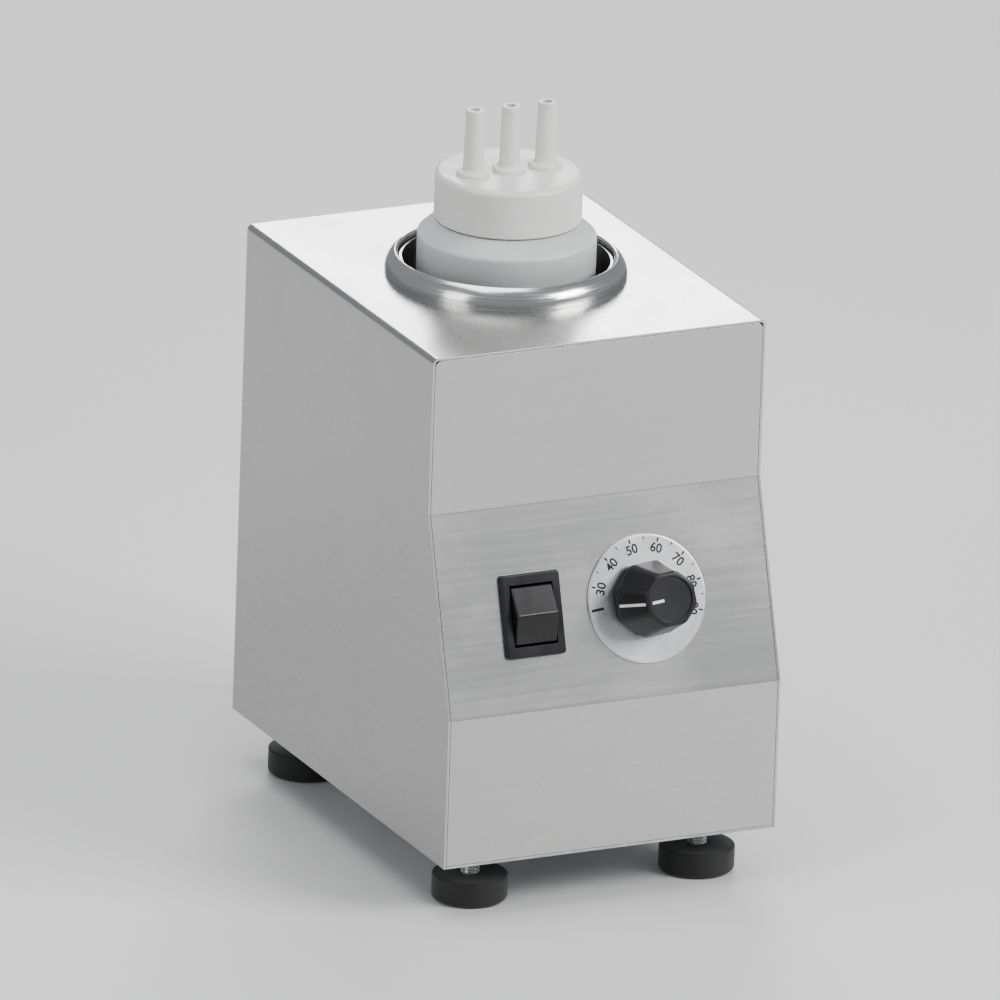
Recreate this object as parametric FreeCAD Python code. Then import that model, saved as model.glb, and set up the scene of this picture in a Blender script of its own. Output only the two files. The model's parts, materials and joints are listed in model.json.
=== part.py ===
import FreeCAD, Part
import math
import os

# Countertop warmer for one squeeze bottle of cheese sauce: a bent-sheet housing with a heated well in its top, a
# rocker switch and a thermostat knob on a sloping panel, four levelling feet, and the bottle with its cap and its
# three nozzles.
#
# Frame: millimetres, +Z up, +X to the right of someone facing the control panel, the panel facing -Y.
# The origin is on the table, under the middle of the object's overall width and depth.

V = FreeCAD.Vector

# ---- Housing -------------------------------------------------------------------------------------
WIDTH = 150.0                # outside width of the housing
TOP_DEPTH = 182.0            # depth of the top plate, front to back
BODY_HEIGHT = 212.0          # underside of the base plate to the top plate
FOOT_HEIGHT = 23.0           # table to the underside of the base plate
UPPER_FRONT = 67.5           # height of the upright strip above the control panel
LOWER_FRONT = 64.0           # height of the upright strip below the control panel
PANEL_REACH = 26.0           # how far the lower strip stands in front of the upper one
SHEET = 1.0                  # sheet thickness
SHEET_GAP = 0.2              # gap left between neighbouring sheets
BEND_RADIUS = 2.5            # outside radius of the folds between the top and the sides
PANEL_BEND = 3.0             # outside radius of the shallow folds in the front
FLANGE = 12.0                # width of the flanges folded into the housing
WELL_Y = 18.32               # the well's axis behind the origin, so that the origin is under the middle

# ---- Bottle, cap and nozzles ---------------------------------------------------------------------
BOTTLE_R = 37.0
BOTTLE_WALL = 1.2
BOTTLE_SHOULDER = 18.6       # shoulder's edge above the top plate
CAP_BOTTOM = 24.0            # cap's lower edge above the top plate
CAP_TOP = 44.0               # cap's flat top above the top plate
CAP_R = 30.5
CAP_WALL = 1.8
NECK_R = 25.8
SHOULDER_TOP_R = 30.0        # where the sloping shoulder ends, just under the cap's edge
NECK_TOP = 40.0              # bottle's mouth above the top plate
THREAD_HEIGHT = 0.9
THREAD_PITCH = 6.0
NOZZLE_TOP = 72.0            # nozzle tips above the top plate
NOZZLE_PITCH = 16.3
NOZZLE_BORE = 2.2
NOZZLE_FOOT_R = 7.0

# ---- Heated well ---------------------------------------------------------------------------------
WELL_R = 43.0                # inside radius
WELL_FLOOR = 63.0            # inside floor above the table
COLLAR_R = 50.0
COLLAR_HEIGHT = 8.5
COLLAR_MOUTH_R = 44.5
HANGER_R = 57.0              # radius of the circle of studs that the well hangs from
HANGER_DROP = 6.0            # top plate's underside to the well's flange
HEATER_LOW, HEATER_HIGH = 82.0, 182.0
HEATER_INNER_R = WELL_R + SHEET + 0.3
HEATER_OUTER_R = HEATER_INNER_R + 4.0
HEATER_GAP = 20.0            # width of the heater's open joint
INSULATION_OUTER_R = 56.5
INSULATION_LOW, INSULATION_HIGH = 68.0, 217.0
INSULATION_GAP = 44.0

# ---- Control panel (places are measured down the slope from its upper fold) ----------------------
SWITCH_X, SWITCH_DOWN = -33.4, 45.1
SWITCH_BEZEL_W, SWITCH_BEZEL_H, SWITCH_BEZEL_T = 26.4, 34.6, 2.2
SWITCH_BODY_W, SWITCH_BODY_H, SWITCH_DEPTH = 21.6, 27.6, 24.0
ROCKER_W = 18.4
ROCKER_REACH = 12.35         # radius of its rounded ends about the pivot
ROCKER_PIVOT = -2.0          # rocker's pivot below the panel's face
ROCKER_TILT = 9.0            # rocker's lean at rest, upper end pressed in
SEESAW_TILT = 6.0            # lean of the contact arms at rest, the other way
SEESAW_PIVOT = -17.2
DIAL_X, DIAL_DOWN = 18.5, 44.4
DIAL_R, DIAL_T = 26.6, 1.0
KNOB_BASE_R, KNOB_TIP_R = 16.6, 12.3     # across the corners of the octagon
KNOB_HEIGHT = 25.2           # knob's face above the panel
KNOB_SKIRT = 5.0             # its widest part above the panel
KNOB_FACE_R = 11.4           # radius of the round face that the eight facets run into
KNOB_CORNER = 28.0           # angle of the octagon's first corner
SHAFT_R = 3.0
BUSHING_R = 5.0

# ---- Feet ----------------------------------------------------------------------------------------
FOOT_X = 51.5
FOOT_FRONT, FOOT_BACK = -92.8, 68.0      # from the well's axis
PAD_R, PAD_HEIGHT = 15.7, 11.0
STUD_R = 4.0
STUD_TOP = 35.0
LOCK_NUT = 4.0
WELD_NUT = 6.5
FOOT_NAMES = {(-1, FOOT_FRONT): "front_left", (1, FOOT_FRONT): "front_right",
              (-1, FOOT_BACK): "back_left", (1, FOOT_BACK): "back_right"}

# ---- Power inlet ---------------------------------------------------------------------------------
INLET_Z = 54.0
INLET_FLANGE_W, INLET_FLANGE_H, INLET_FLANGE_T = 50.0, 23.0, 2.6
INLET_BODY_W, INLET_BODY_H, INLET_DEPTH = 27.2, 19.6, 17.0
INLET_RECESS_W, INLET_RECESS_H = 24.4, 16.8
INLET_SCREWS = 40.0          # distance between its two screws

# ---- Worked-out levels and faces -----------------------------------------------------------------
BASE_Z = FOOT_HEIGHT
TOP_Z = FOOT_HEIGHT + BODY_HEIGHT
UPPER_FOLD_Z = TOP_Z - UPPER_FRONT
LOWER_FOLD_Z = BASE_Z + LOWER_FRONT
BACK_Y = WELL_Y + TOP_DEPTH / 2
UPPER_Y = WELL_Y - TOP_DEPTH / 2
LOWER_Y = UPPER_Y - PANEL_REACH
SLOPE = math.degrees(math.atan2(PANEL_REACH, UPPER_FOLD_Z - LOWER_FOLD_Z))
INNER_X = WIDTH / 2 - SHEET
WELL_TOP = TOP_Z + COLLAR_HEIGHT - 2.5
HANGER_Z = TOP_Z - SHEET - HANGER_DROP
ACROSS = 2 * WIDTH           # longer than the housing is wide, for cutters that pass right through


# ---- Shape helpers -------------------------------------------------------------------------------
def block(x0, x1, y0, y1, z0, z1):
    return Part.makeBox(x1 - x0, y1 - y0, z1 - z0, V(x0, y0, z0))


def rod(radius, z0, z1, x=0.0, y=0.0):
    return Part.makeCylinder(radius, z1 - z0, V(x, y, z0))


def ring(outer, inner, z0, z1, x=0.0, y=0.0):
    return rod(outer, z0, z1, x, y).cut(rod(inner, z0 - 1, z1 + 1, x, y))


def rod_between(start, end, radius):
    run = end - start
    return Part.makeCylinder(radius, run.Length, start, run)


def prism(points, direction):
    """The flat polygon through points, pushed along direction."""
    return Part.Face(Part.makePolygon(points + points[:1])).extrude(direction)


def side_prism(outline, x0, x1):
    """A polygon of (y, z) points, from x0 to x1."""
    return prism([V(x0, y, z) for y, z in outline], V(x1 - x0, 0, 0))


def regular(sides, corner_radius, z, first_corner=0.0):
    """The closed wire of a regular polygon about the Z axis."""
    turns = [math.radians(first_corner + 360.0 * k / sides) for k in range(sides)]
    points = [V(corner_radius * math.cos(t), corner_radius * math.sin(t), z) for t in turns]
    return Part.makePolygon(points + points[:1])


def hexagon(across_flats, z0, z1, x=0.0, y=0.0):
    corner = across_flats / 2 / math.cos(math.pi / 6)
    shape = Part.Face(regular(6, corner, z0)).extrude(V(0, 0, z1 - z0))
    shape.translate(V(x, y, 0))
    return shape


def turned(steps, x=0.0, y=0.0):
    """A solid of revolution about the vertical axis through (x, y). steps are (r, z) points joined by straight
    lines, and a step of two points is an arc that passes through the first and ends at the second."""
    edges, here = [], steps[0]
    for step in steps[1:] + steps[:1]:
        if isinstance(step[0], tuple):
            through, end = step
            edges.append(Part.Arc(V(here[0], 0, here[1]), V(through[0], 0, through[1]),
                                  V(end[0], 0, end[1])).toShape())
        else:
            end = step
            if abs(end[0] - here[0]) + abs(end[1] - here[1]) > 1e-9:
                edges.append(Part.LineSegment(V(here[0], 0, here[1]), V(end[0], 0, end[1])).toShape())
        here = end
    shape = Part.Face(Part.Wire(edges)).revolve(V(0, 0, 0), V(0, 0, 1), 360)
    shape.translate(V(x, y, 0))
    return shape


def joined(shapes):
    """One solid out of shapes that touch or overlap."""
    whole = shapes[0]
    for shape in shapes[1:]:
        whole = whole.fuse(shape)
    return whole.removeSplitter()


def group(shapes):
    """Separate solids of one node."""
    return Part.makeCompound(shapes)


def rounded(shape, radius, wanted):
    """shape with the edges that wanted(edge) picks rounded to radius."""
    return shape.makeFillet(radius, [e for e in shape.Edges if wanted(e)])


def is_straight(edge, axis):
    """True if edge is a straight line along the axis named x, y or z."""
    box = edge.BoundBox
    sizes = {"x": box.XLength, "y": box.YLength, "z": box.ZLength}
    return all((size > 1e-3) == (name == axis) for name, size in sizes.items())


def on_panel(shape, x, down):
    """Carries a shape modelled about the origin, +Y up the slope and +Z out of the panel, to its place."""
    turn = FreeCAD.Rotation(V(1, 0, 0), 90 - SLOPE)
    tilt = math.radians(SLOPE)
    place = V(x, UPPER_Y - down * math.sin(tilt), UPPER_FOLD_Z - down * math.cos(tilt))
    moved = shape.copy()
    moved.Placement = FreeCAD.Placement(place, turn)
    return moved


def panel_point(x, down, right, up, out):
    """The place of a point given on the panel: right and up the slope from (x, down), and out of the face."""
    turn = FreeCAD.Rotation(V(1, 0, 0), 90 - SLOPE)
    tilt = math.radians(SLOPE)
    place = V(x, UPPER_Y - down * math.sin(tilt), UPPER_FOLD_Z - down * math.cos(tilt))
    return place + turn.multVec(V(right, up, out))


def turned_about_x(shape, pivot_z, degrees):
    """shape leaned about the line along X at height pivot_z."""
    leaned = shape.copy()
    leaned.rotate(V(0, 0, pivot_z), V(1, 0, 0), degrees)
    return leaned


def around_well(angle, radius):
    """The (x, y) of a point on a circle round the well's axis."""
    return radius * math.cos(math.radians(angle)), WELL_Y + radius * math.sin(math.radians(angle))


def bent_rod(points, radius, bend):
    """A round rod along straight runs joined by tangent arcs of radius bend, or smaller where a run is short."""
    edges, here = [], points[0]
    for before, corner, after in zip(points, points[1:], points[2:]):
        into, out = (corner - before), (after - corner)
        turn = into.getAngle(out)
        reach = min(bend * math.tan(turn / 2), 0.45 * min(into.Length, out.Length))
        arc_radius = reach / math.tan(turn / 2)
        start = corner - into * (reach / into.Length)
        end = corner + out * (reach / out.Length)
        middle = (start + end) * 0.5 - corner
        dip = arc_radius / math.cos(turn / 2) - arc_radius
        through = corner + middle * (dip / middle.Length)
        edges += [Part.LineSegment(here, start).toShape(), Part.Arc(start, through, end).toShape()]
        here = end
    edges.append(Part.LineSegment(here, points[-1]).toShape())
    path = Part.Wire(edges)
    section = Part.Wire([Part.Circle(points[0], points[1] - points[0], radius).toShape()])
    return path.makePipeShell([section], True, False)


# ---- Housing -------------------------------------------------------------------------------------
def cavity():
    """The space that the panels may fill inside the cover, with its upper corners rounded like the folds."""
    half = INNER_X - SHEET_GAP
    slab = block(-half, half, LOWER_Y - 10, BACK_Y + 10, 0, TOP_Z - SHEET - SHEET_GAP)
    return rounded(slab, BEND_RADIUS, lambda e: is_straight(e, "y") and e.BoundBox.ZMin > TOP_Z - 5)


def side_outline(inset=0.0):
    """The housing seen from the side, as (y, z) points."""
    return [(BACK_Y, BASE_Z), (BACK_Y, TOP_Z), (UPPER_Y + inset, TOP_Z), (UPPER_Y + inset, UPPER_FOLD_Z),
            (LOWER_Y + inset, LOWER_FOLD_Z), (LOWER_Y + inset, BASE_Z)]


def screw_slots_back():
    """The (x, z) of the screws that hold the back panel."""
    heights = (BASE_Z + 12, (BASE_Z + TOP_Z) / 2, TOP_Z - 12)
    return [(side * (INNER_X - 7), z) for side in (-1, 1) for z in heights]


def screw_slots_base():
    """The (x, y) of the screws that hold the base plate."""
    along = (LOWER_Y + 40, WELL_Y, BACK_Y - 45)
    sides = [(side * (INNER_X - 6), y) for side in (-1, 1) for y in along]
    return sides + [(x, LOWER_Y + 7) for x in (-25.0, 25.0)]


def top_and_sides_cover():
    y0, y1 = LOWER_Y - 1, BACK_Y
    shells = []
    for half, top, radius in ((WIDTH / 2, TOP_Z, BEND_RADIUS), (INNER_X, TOP_Z - SHEET, BEND_RADIUS - SHEET)):
        slab = block(-half, half, y0, y1, BASE_Z - (1 if half == INNER_X else 0), top)
        shells.append(rounded(slab, radius, lambda e: is_straight(e, "y") and e.BoundBox.ZMin > TOP_Z - 5))
    cover = shells[0].cut(shells[1]).common(side_prism(side_outline(), -ACROSS / 2, ACROSS / 2))
    flange_z = BASE_Z + SHEET + SHEET_GAP
    parts = [cover]
    for side in (-1, 1):
        x0, x1 = sorted((side * (INNER_X + 0.5), side * (INNER_X - FLANGE)))
        rear = BACK_Y - SHEET - SHEET_GAP
        parts.append(block(x0, x1, rear - SHEET, rear, BASE_Z + 3, TOP_Z - 3))
        parts.append(block(x0, x1, LOWER_Y + FLANGE + 4, BACK_Y - FLANGE - 4, flange_z, flange_z + SHEET))
    cover = joined(parts)
    cover = cover.cut(rod(COLLAR_MOUTH_R + SHEET + 0.5, TOP_Z - 5, TOP_Z + 5, 0, WELL_Y))
    for x, z in screw_slots_back():
        cover = cover.cut(rod_between(V(x, BACK_Y - 6, z), V(x, BACK_Y + 1, z), 1.55))
    for x, y in screw_slots_base():
        cover = cover.cut(rod(1.55, BASE_Z - 1, BASE_Z + 6, x, y))
    return cover


def front_panel():
    """One sheet folded into the upper strip, the sloping panel and the lower strip, with flanges folded back."""
    half = INNER_X - SHEET_GAP
    low, high = BASE_Z + SHEET + SHEET_GAP, TOP_Z - SHEET - SHEET_GAP
    outer = [(UPPER_Y, high), (UPPER_Y, UPPER_FOLD_Z), (LOWER_Y, LOWER_FOLD_Z), (LOWER_Y, low)]
    shift = SHEET * math.tan(math.radians(SLOPE / 2))
    inner = [(UPPER_Y + SHEET, high), (UPPER_Y + SHEET, UPPER_FOLD_Z + shift),
             (LOWER_Y + SHEET, LOWER_FOLD_Z + shift), (LOWER_Y + SHEET, low)]
    sheet = side_prism(outer + inner[::-1], -half, half)
    folds = {(UPPER_Y, UPPER_FOLD_Z): PANEL_BEND - SHEET, (LOWER_Y, LOWER_FOLD_Z): PANEL_BEND,
             inner[1]: PANEL_BEND, inner[2]: PANEL_BEND - SHEET}
    for (y, z), radius in folds.items():
        sheet = rounded(sheet, radius, lambda e: is_straight(e, "x")
                        and abs(e.BoundBox.YMin - y) < 0.01 and abs(e.BoundBox.ZMin - z) < 0.01)
    parts = [sheet]
    flange = [(y + SHEET / 2, z) for y, z in outer] + [(LOWER_Y + FLANGE, low), (LOWER_Y + FLANGE, LOWER_FOLD_Z),
                                                     (UPPER_Y + FLANGE, UPPER_FOLD_Z), (UPPER_Y + FLANGE, high)]
    for side in (-1, 1):
        x0, x1 = sorted((side * half, side * (half - SHEET)))
        parts.append(side_prism(flange, x0, x1))
    parts.append(block(-half + 0.5, half - 0.5, LOWER_Y + 0.5, LOWER_Y + FLANGE, low, low + SHEET))
    parts.append(block(-half + 0.5, half - 0.5, UPPER_Y + 0.5, UPPER_Y + FLANGE, high - SHEET, high))
    panel = joined(parts).common(cavity())
    opening = block(-SWITCH_BODY_W / 2 - 0.2, SWITCH_BODY_W / 2 + 0.2,
                    -SWITCH_BODY_H / 2 - 0.2, SWITCH_BODY_H / 2 + 0.2, -6, 6)
    panel = panel.cut(on_panel(opening, SWITCH_X, SWITCH_DOWN))
    panel = panel.cut(on_panel(rod(BUSHING_R + 0.2, -6, 6), DIAL_X, DIAL_DOWN))
    for x, y in screw_slots_base()[-2:]:
        panel = panel.cut(rod(1.55, low - 1, low + 2, x, y))
    return panel


def louvre(z, half_length=24.0, radius=3.6, thickness=0.8):
    """The slot of one louvre, and the hood pressed out over it, open downwards."""
    face = BACK_Y
    hood = Part.makeCylinder(radius, 2 * half_length, V(-half_length, face - 0.3, z), V(1, 0, 0))
    core = Part.makeCylinder(radius - thickness, 2 * (half_length - thickness),
                             V(-half_length + thickness, face - 0.3, z), V(1, 0, 0))
    outside = block(-half_length, half_length, face - 0.3, face + radius, z, z + radius)
    slot = block(-half_length + 1, half_length - 1, face - 3, face + 0.01, z - 0.2, z + radius - thickness)
    return hood.cut(core).common(outside), slot


def back_panel():
    half = INNER_X - SHEET_GAP
    plate = block(-half, half, BACK_Y - SHEET, BACK_Y, BASE_Z + SHEET + SHEET_GAP, TOP_Z - SHEET - SHEET_GAP)
    for k in range(6):
        hood, slot = louvre(TOP_Z - 92 + 11 * k)
        plate = plate.cut(slot).fuse(hood)
    plate = plate.removeSplitter().common(cavity())
    opening = block(-INLET_BODY_W / 2 - 0.2, INLET_BODY_W / 2 + 0.2, BACK_Y - 3, BACK_Y + 3,
                    INLET_Z - INLET_BODY_H / 2 - 0.2, INLET_Z + INLET_BODY_H / 2 + 0.2)
    plate = plate.cut(opening)
    for x, z in screw_slots_back():
        plate = plate.cut(rod_between(V(x, BACK_Y - 3, z), V(x, BACK_Y + 1, z), 1.8))
    for side in (-1, 1):
        x = side * INLET_SCREWS / 2
        plate = plate.cut(rod_between(V(x, BACK_Y - 3, INLET_Z), V(x, BACK_Y + 1, INLET_Z), 1.8))
    return plate


def base_plate():
    half = INNER_X - SHEET_GAP
    plate = block(-half, half, LOWER_Y, BACK_Y, BASE_Z, BASE_Z + SHEET)
    for x, y in screw_slots_base():
        plate = plate.cut(rod(1.8, BASE_Z - 1, BASE_Z + 2, x, y))
    for side, y in FOOT_NAMES:
        plate = plate.cut(rod(STUD_R + 0.4, BASE_Z - 1, BASE_Z + 2, side * FOOT_X, WELL_Y + y))
    for k in range(7):
        x = 9.0 * (k - 3)
        slot = block(x - 1.6, x + 1.6, WELL_Y - 26, WELL_Y + 26, BASE_Z - 1, BASE_Z + 2)
        ends = [rod(1.6, BASE_Z - 1, BASE_Z + 2, x, WELL_Y + s * 26) for s in (-1, 1)]
        plate = plate.cut(joined([slot] + ends))
    return plate.cut(rod(2.2, BASE_Z - 1, BASE_Z + 2, *earth_place()))


def pan_screw(tip, head, shank_r=1.4, head_r=2.9, head_t=2.0):
    """A pan-head screw from its tip to the underside of its head, with a cross slot in the head."""
    along = (head - tip)
    unit = along * (1 / along.Length)
    top = head + unit * head_t
    side = unit.cross(V(0, 0, 1) if abs(unit.z) < 0.9 else V(1, 0, 0))
    other = unit.cross(side)
    screw = rod_between(tip, head, shank_r).fuse(rod_between(head, top, head_r))
    screw = screw.makeFillet(0.7, [e for e in screw.Edges if (e.CenterOfMass - top).Length < 0.01])
    for a, b in ((side, other), (other, side)):
        corners = [top + unit * 0.1 + a * (sa * head_r * 0.62) + b * (sb * 0.4)
                   for sa, sb in ((-1, -1), (1, -1), (1, 1), (-1, 1))]
        screw = screw.cut(prism(corners, unit * -1.0))
    return screw


def back_panel_screws():
    return group([pan_screw(V(x, BACK_Y - 7, z), V(x, BACK_Y, z)) for x, z in screw_slots_back()])


def base_screws():
    return group([pan_screw(V(x, y, BASE_Z + 7), V(x, y, BASE_Z)) for x, y in screw_slots_base()])


# ---- Heated well ---------------------------------------------------------------------------------
def well_collar():
    """The spun ring round the mouth: a rounded shoulder outside, a rolled lip and a short tube into the housing."""
    height, tube_foot = COLLAR_HEIGHT, HANGER_Z + 0.3 - TOP_Z
    section = [(COLLAR_R, 0.0), ((COLLAR_R - 1.0, 5.1), (COLLAR_R - 4.1, height)),
               ((COLLAR_MOUTH_R + 0.4, height - 0.4), (COLLAR_MOUTH_R, height - 1.4)),
               (COLLAR_MOUTH_R, tube_foot), (COLLAR_MOUTH_R + SHEET, tube_foot),
               (COLLAR_MOUTH_R + SHEET, height - 2.0), ((COLLAR_R - 2.1, 4.6), (COLLAR_R - SHEET, 0.0))]
    collar = turned(section, 0, WELL_Y)
    collar.translate(V(0, 0, TOP_Z))
    return collar


def collar_seal():
    """The silicone ring under the collar."""
    seal = turned([(COLLAR_MOUTH_R + SHEET + 0.4, 0.05), (COLLAR_R - SHEET - 0.5, 0.05),
                   (COLLAR_R - SHEET - 0.8, 2.2), (COLLAR_MOUTH_R + SHEET + 0.4, 2.2)], 0, WELL_Y)
    seal.translate(V(0, 0, TOP_Z))
    return seal


def collar_retaining_ring():
    return ring(COLLAR_MOUTH_R + 6.0, COLLAR_MOUTH_R + SHEET + 0.1, TOP_Z - SHEET - 2.4, TOP_Z - SHEET - 0.1,
                0, WELL_Y)


def hanger_places():
    return [around_well(angle, HANGER_R) for angle in (45, 135, 225, 315)]


def well_cup():
    """The deep-drawn cup that the bottle stands in, with the flange that it hangs from."""
    outer, corner = WELL_R + SHEET, 5.0
    cup = turned([(0, WELL_FLOOR - SHEET), (outer - corner - SHEET, WELL_FLOOR - SHEET),
                  ((outer - 1.5 - 0.26, WELL_FLOOR - SHEET + 1.76), (outer, WELL_FLOOR - SHEET + corner + SHEET)),
                  (outer, WELL_TOP), (WELL_R, WELL_TOP), (WELL_R, WELL_FLOOR + corner),
                  ((WELL_R - 1.46, WELL_FLOOR + 1.46), (WELL_R - corner, WELL_FLOOR)), (0, WELL_FLOOR)], 0, WELL_Y)
    flange = ring(HANGER_R + 5, WELL_R + SHEET / 2, HANGER_Z - SHEET, HANGER_Z, 0, WELL_Y)
    cup = joined([cup, flange])
    for x, y in hanger_places():
        cup = cup.cut(rod(2.2, HANGER_Z - 5, HANGER_Z + 5, x, y))
    return cup


def hanger_studs():
    return group([rod(1.95, HANGER_Z - 9, TOP_Z - SHEET, x, y) for x, y in hanger_places()])


def hanger_spacers():
    return group([ring(4.0, 2.1, HANGER_Z, TOP_Z - SHEET, x, y) for x, y in hanger_places()])


def hanger_nuts():
    return group([hexagon(7.0, HANGER_Z - SHEET - 3.2, HANGER_Z - SHEET, x, y)
                  .cut(rod(2.0, HANGER_Z - 9, HANGER_Z, x, y)) for x, y in hanger_places()])


def heater_band():
    """A clamp band of mica heater in a steel skin, with its joint and ears at the back."""
    band = ring(HEATER_OUTER_R, HEATER_INNER_R, HEATER_LOW, HEATER_HIGH, 0, WELL_Y)
    band = band.cut(block(-HEATER_GAP / 2, HEATER_GAP / 2, WELL_Y, WELL_Y + 70, 0, TOP_Z))
    parts = [band]
    for side in (-1, 1):
        x0, x1 = sorted((side * HEATER_GAP / 2, side * (HEATER_GAP / 2 + 1.6)))
        parts.append(block(x0, x1, WELL_Y + HEATER_INNER_R - 1, WELL_Y + INSULATION_OUTER_R + 4,
                           HEATER_LOW, HEATER_HIGH))
    band = joined(parts)
    for z in heater_screw_heights():
        y = WELL_Y + INSULATION_OUTER_R
        band = band.cut(rod_between(V(-20, y, z), V(20, y, z), 2.1))
    return band


def heater_screw_heights():
    return (HEATER_LOW + 15, HEATER_HIGH - 15)


def heater_clamp_screws():
    reach = HEATER_GAP / 2 + 1.6
    y = WELL_Y + INSULATION_OUTER_R
    screws = []
    for z in heater_screw_heights():
        screws.append(pan_screw(V(-reach - 5, y, z), V(reach, y, z), 1.9, 3.6, 2.6))
        nut = hexagon(7.0, 0, 3.2).cut(rod(1.95, -1, 5))
        nut.rotate(V(0, 0, 0), V(0, 1, 0), -90)
        nut.translate(V(-reach, y, z))
        screws.append(nut)
    return group(screws)


def heater_terminal_places():
    """Where the two heater terminals stand, as (side, z)."""
    return [(side, (HEATER_LOW + HEATER_HIGH) / 2) for side in (-1, 1)]


def heater_terminals():
    """Two ceramic-bushed tabs on the heater's skin, on both sides of its joint."""
    parts = []
    for side, z in heater_terminal_places():
        x = side * (HEATER_GAP / 2 + 5.0)
        y = WELL_Y + HEATER_OUTER_R
        parts.append(rod_between(V(x, y - 0.4, z), V(x, y + 8, z), 2.6).fuse(
            block(x - 0.4, x + 0.4, y + 8, y + 16, z - 3.15, z + 3.15)))
    return group(parts)


def insulation_jacket():
    jacket = ring(INSULATION_OUTER_R, HEATER_OUTER_R + 0.6, INSULATION_LOW, INSULATION_HIGH, 0, WELL_Y)
    return jacket.cut(block(-INSULATION_GAP / 2, INSULATION_GAP / 2, WELL_Y, WELL_Y + 80, 0, TOP_Z))


# ---- Temperature sensor and cut-out --------------------------------------------------------------
BULB_R, BULB_LOW, BULB_HIGH = 3.0, 100.0, 165.0
BULB_Y = WELL_Y + WELL_R + SHEET + BULB_R + 0.2
CAPILLARY_R = 0.9
CUTOUT_TOP = WELL_FLOOR - SHEET
CUTOUT_STUD_X = 11.6


def sensor_bulb():
    bulb = rod(BULB_R, BULB_LOW, BULB_HIGH, 0, BULB_Y)
    return bulb.makeFillet(1.4, [e for e in bulb.Edges if e.Curve.TypeId == "Part::GeomCircle"])


def bulb_clips():
    """Two spring saddles that press the bulb against the well's wall."""
    clips = []
    for z in (BULB_LOW + 15, BULB_HIGH - 20):
        saddle = ring(BULB_R + 1.1, BULB_R + 0.3, z, z + 8, 0, BULB_Y).cut(
            block(-10, 10, BULB_Y - 10, BULB_Y, z - 1, z + 9))
        legs = [block(*sorted((side * (BULB_R + 0.3), side * (HEATER_GAP / 2 - 0.6))),
                      BULB_Y, BULB_Y + 0.8, z, z + 8)
                for side in (-1, 1)]
        clips.append(joined([saddle] + legs))
    return group(clips)


def thermal_cutout():
    """The snap-disc cut-out under the well, held up by its flange."""
    body = rod(8.0, CUTOUT_TOP - 9.5, CUTOUT_TOP - 0.1, 0, WELL_Y)
    flange = block(-14.6, 14.6, WELL_Y - 5, WELL_Y + 5, CUTOUT_TOP - 3.0, CUTOUT_TOP - 2.0)
    tabs = [block(side * 4.5 - 3.15, side * 4.5 + 3.15, WELL_Y - 0.4, WELL_Y + 0.4, CUTOUT_TOP - 17,
                  CUTOUT_TOP - 9) for side in (-1, 1)]
    cutout = joined([body, flange] + tabs)
    for side in (-1, 1):
        cutout = cutout.cut(rod(1.7, CUTOUT_TOP - 10, CUTOUT_TOP, side * CUTOUT_STUD_X, WELL_Y))
    return cutout


def cutout_studs():
    """Two studs welded under the well, with their nuts, that hold the cut-out."""
    parts = []
    for side in (-1, 1):
        parts.append(rod(1.45, CUTOUT_TOP - 8, CUTOUT_TOP, side * CUTOUT_STUD_X, WELL_Y))
        parts.append(hexagon(5.5, CUTOUT_TOP - 5.6, CUTOUT_TOP - 3.1, side * CUTOUT_STUD_X, WELL_Y)
                     .cut(rod(1.5, 0, CUTOUT_TOP, side * CUTOUT_STUD_X, WELL_Y)))
    return group(parts)


# ---- Thermostat, dial and knob (modelled about the shaft, +Z out of the panel) -------------------
THERMOSTAT_TERMINAL_X = (-9.0, 9.0)
THERMOSTAT_BACK = -30.0
CAPSULE_UP = -9.0            # diaphragm capsule, down the slope from the shaft


def thermostat_frame():
    frame = block(-17, 17, -21, 21, -22, -SHEET - 0.1).cut(block(-15.8, 15.8, -25, 25, -20.8, -SHEET - 1.4))
    bushing = rod(BUSHING_R, -SHEET - 1.3, 7.5)
    frame = joined([frame, bushing])
    return on_panel(frame.cut(rod(SHAFT_R + 0.1, -40, 20)), DIAL_X, DIAL_DOWN)


def thermostat_contact_base():
    """The moulded block behind the frame that carries the switch contacts."""
    base = block(-14, 14, -2, 20, THERMOSTAT_BACK, -22.1)
    for x in THERMOSTAT_TERMINAL_X:
        base = base.cut(block(x - 3.3, x + 3.3, 8.5, 9.5, THERMOSTAT_BACK - 1, -23.6))
    return on_panel(base, DIAL_X, DIAL_DOWN)


def thermostat_terminals():
    tabs = [block(x - 3.15, x + 3.15, 8.6, 9.4, THERMOSTAT_BACK - 8, -23.7) for x in THERMOSTAT_TERMINAL_X]
    return group([on_panel(t, DIAL_X, DIAL_DOWN) for t in tabs])


def thermostat_capsule():
    """The liquid-filled diaphragm capsule, with the collar that its capillary is brazed into."""
    capsule = rod(8.5, -27.0, -22.1, 0, CAPSULE_UP - 3)
    capsule = capsule.makeFillet(1.2, [e for e in capsule.Edges if e.Curve.TypeId == "Part::GeomCircle"
                                       and e.BoundBox.ZMax < -26])
    collar = rod(2.2, -31.0, -26.5, 0, CAPSULE_UP - 3).cut(rod(CAPILLARY_R + 0.05, -32, -29, 0, CAPSULE_UP - 3))
    return on_panel(joined([capsule, collar]), DIAL_X, DIAL_DOWN)


def thermostat_shaft():
    """The spindle with a flat, and the cam that it turns inside the frame."""
    shaft = rod(SHAFT_R - 0.02, -19.5, 20.0)
    shaft = shaft.cut(block(-5, 5, SHAFT_R - 1.5, 5, 8.5, 21))
    cam = rod(9.0, -17.5, -14.5, 1.6, 0)
    return on_panel(joined([shaft, cam]), DIAL_X, DIAL_DOWN)


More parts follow.
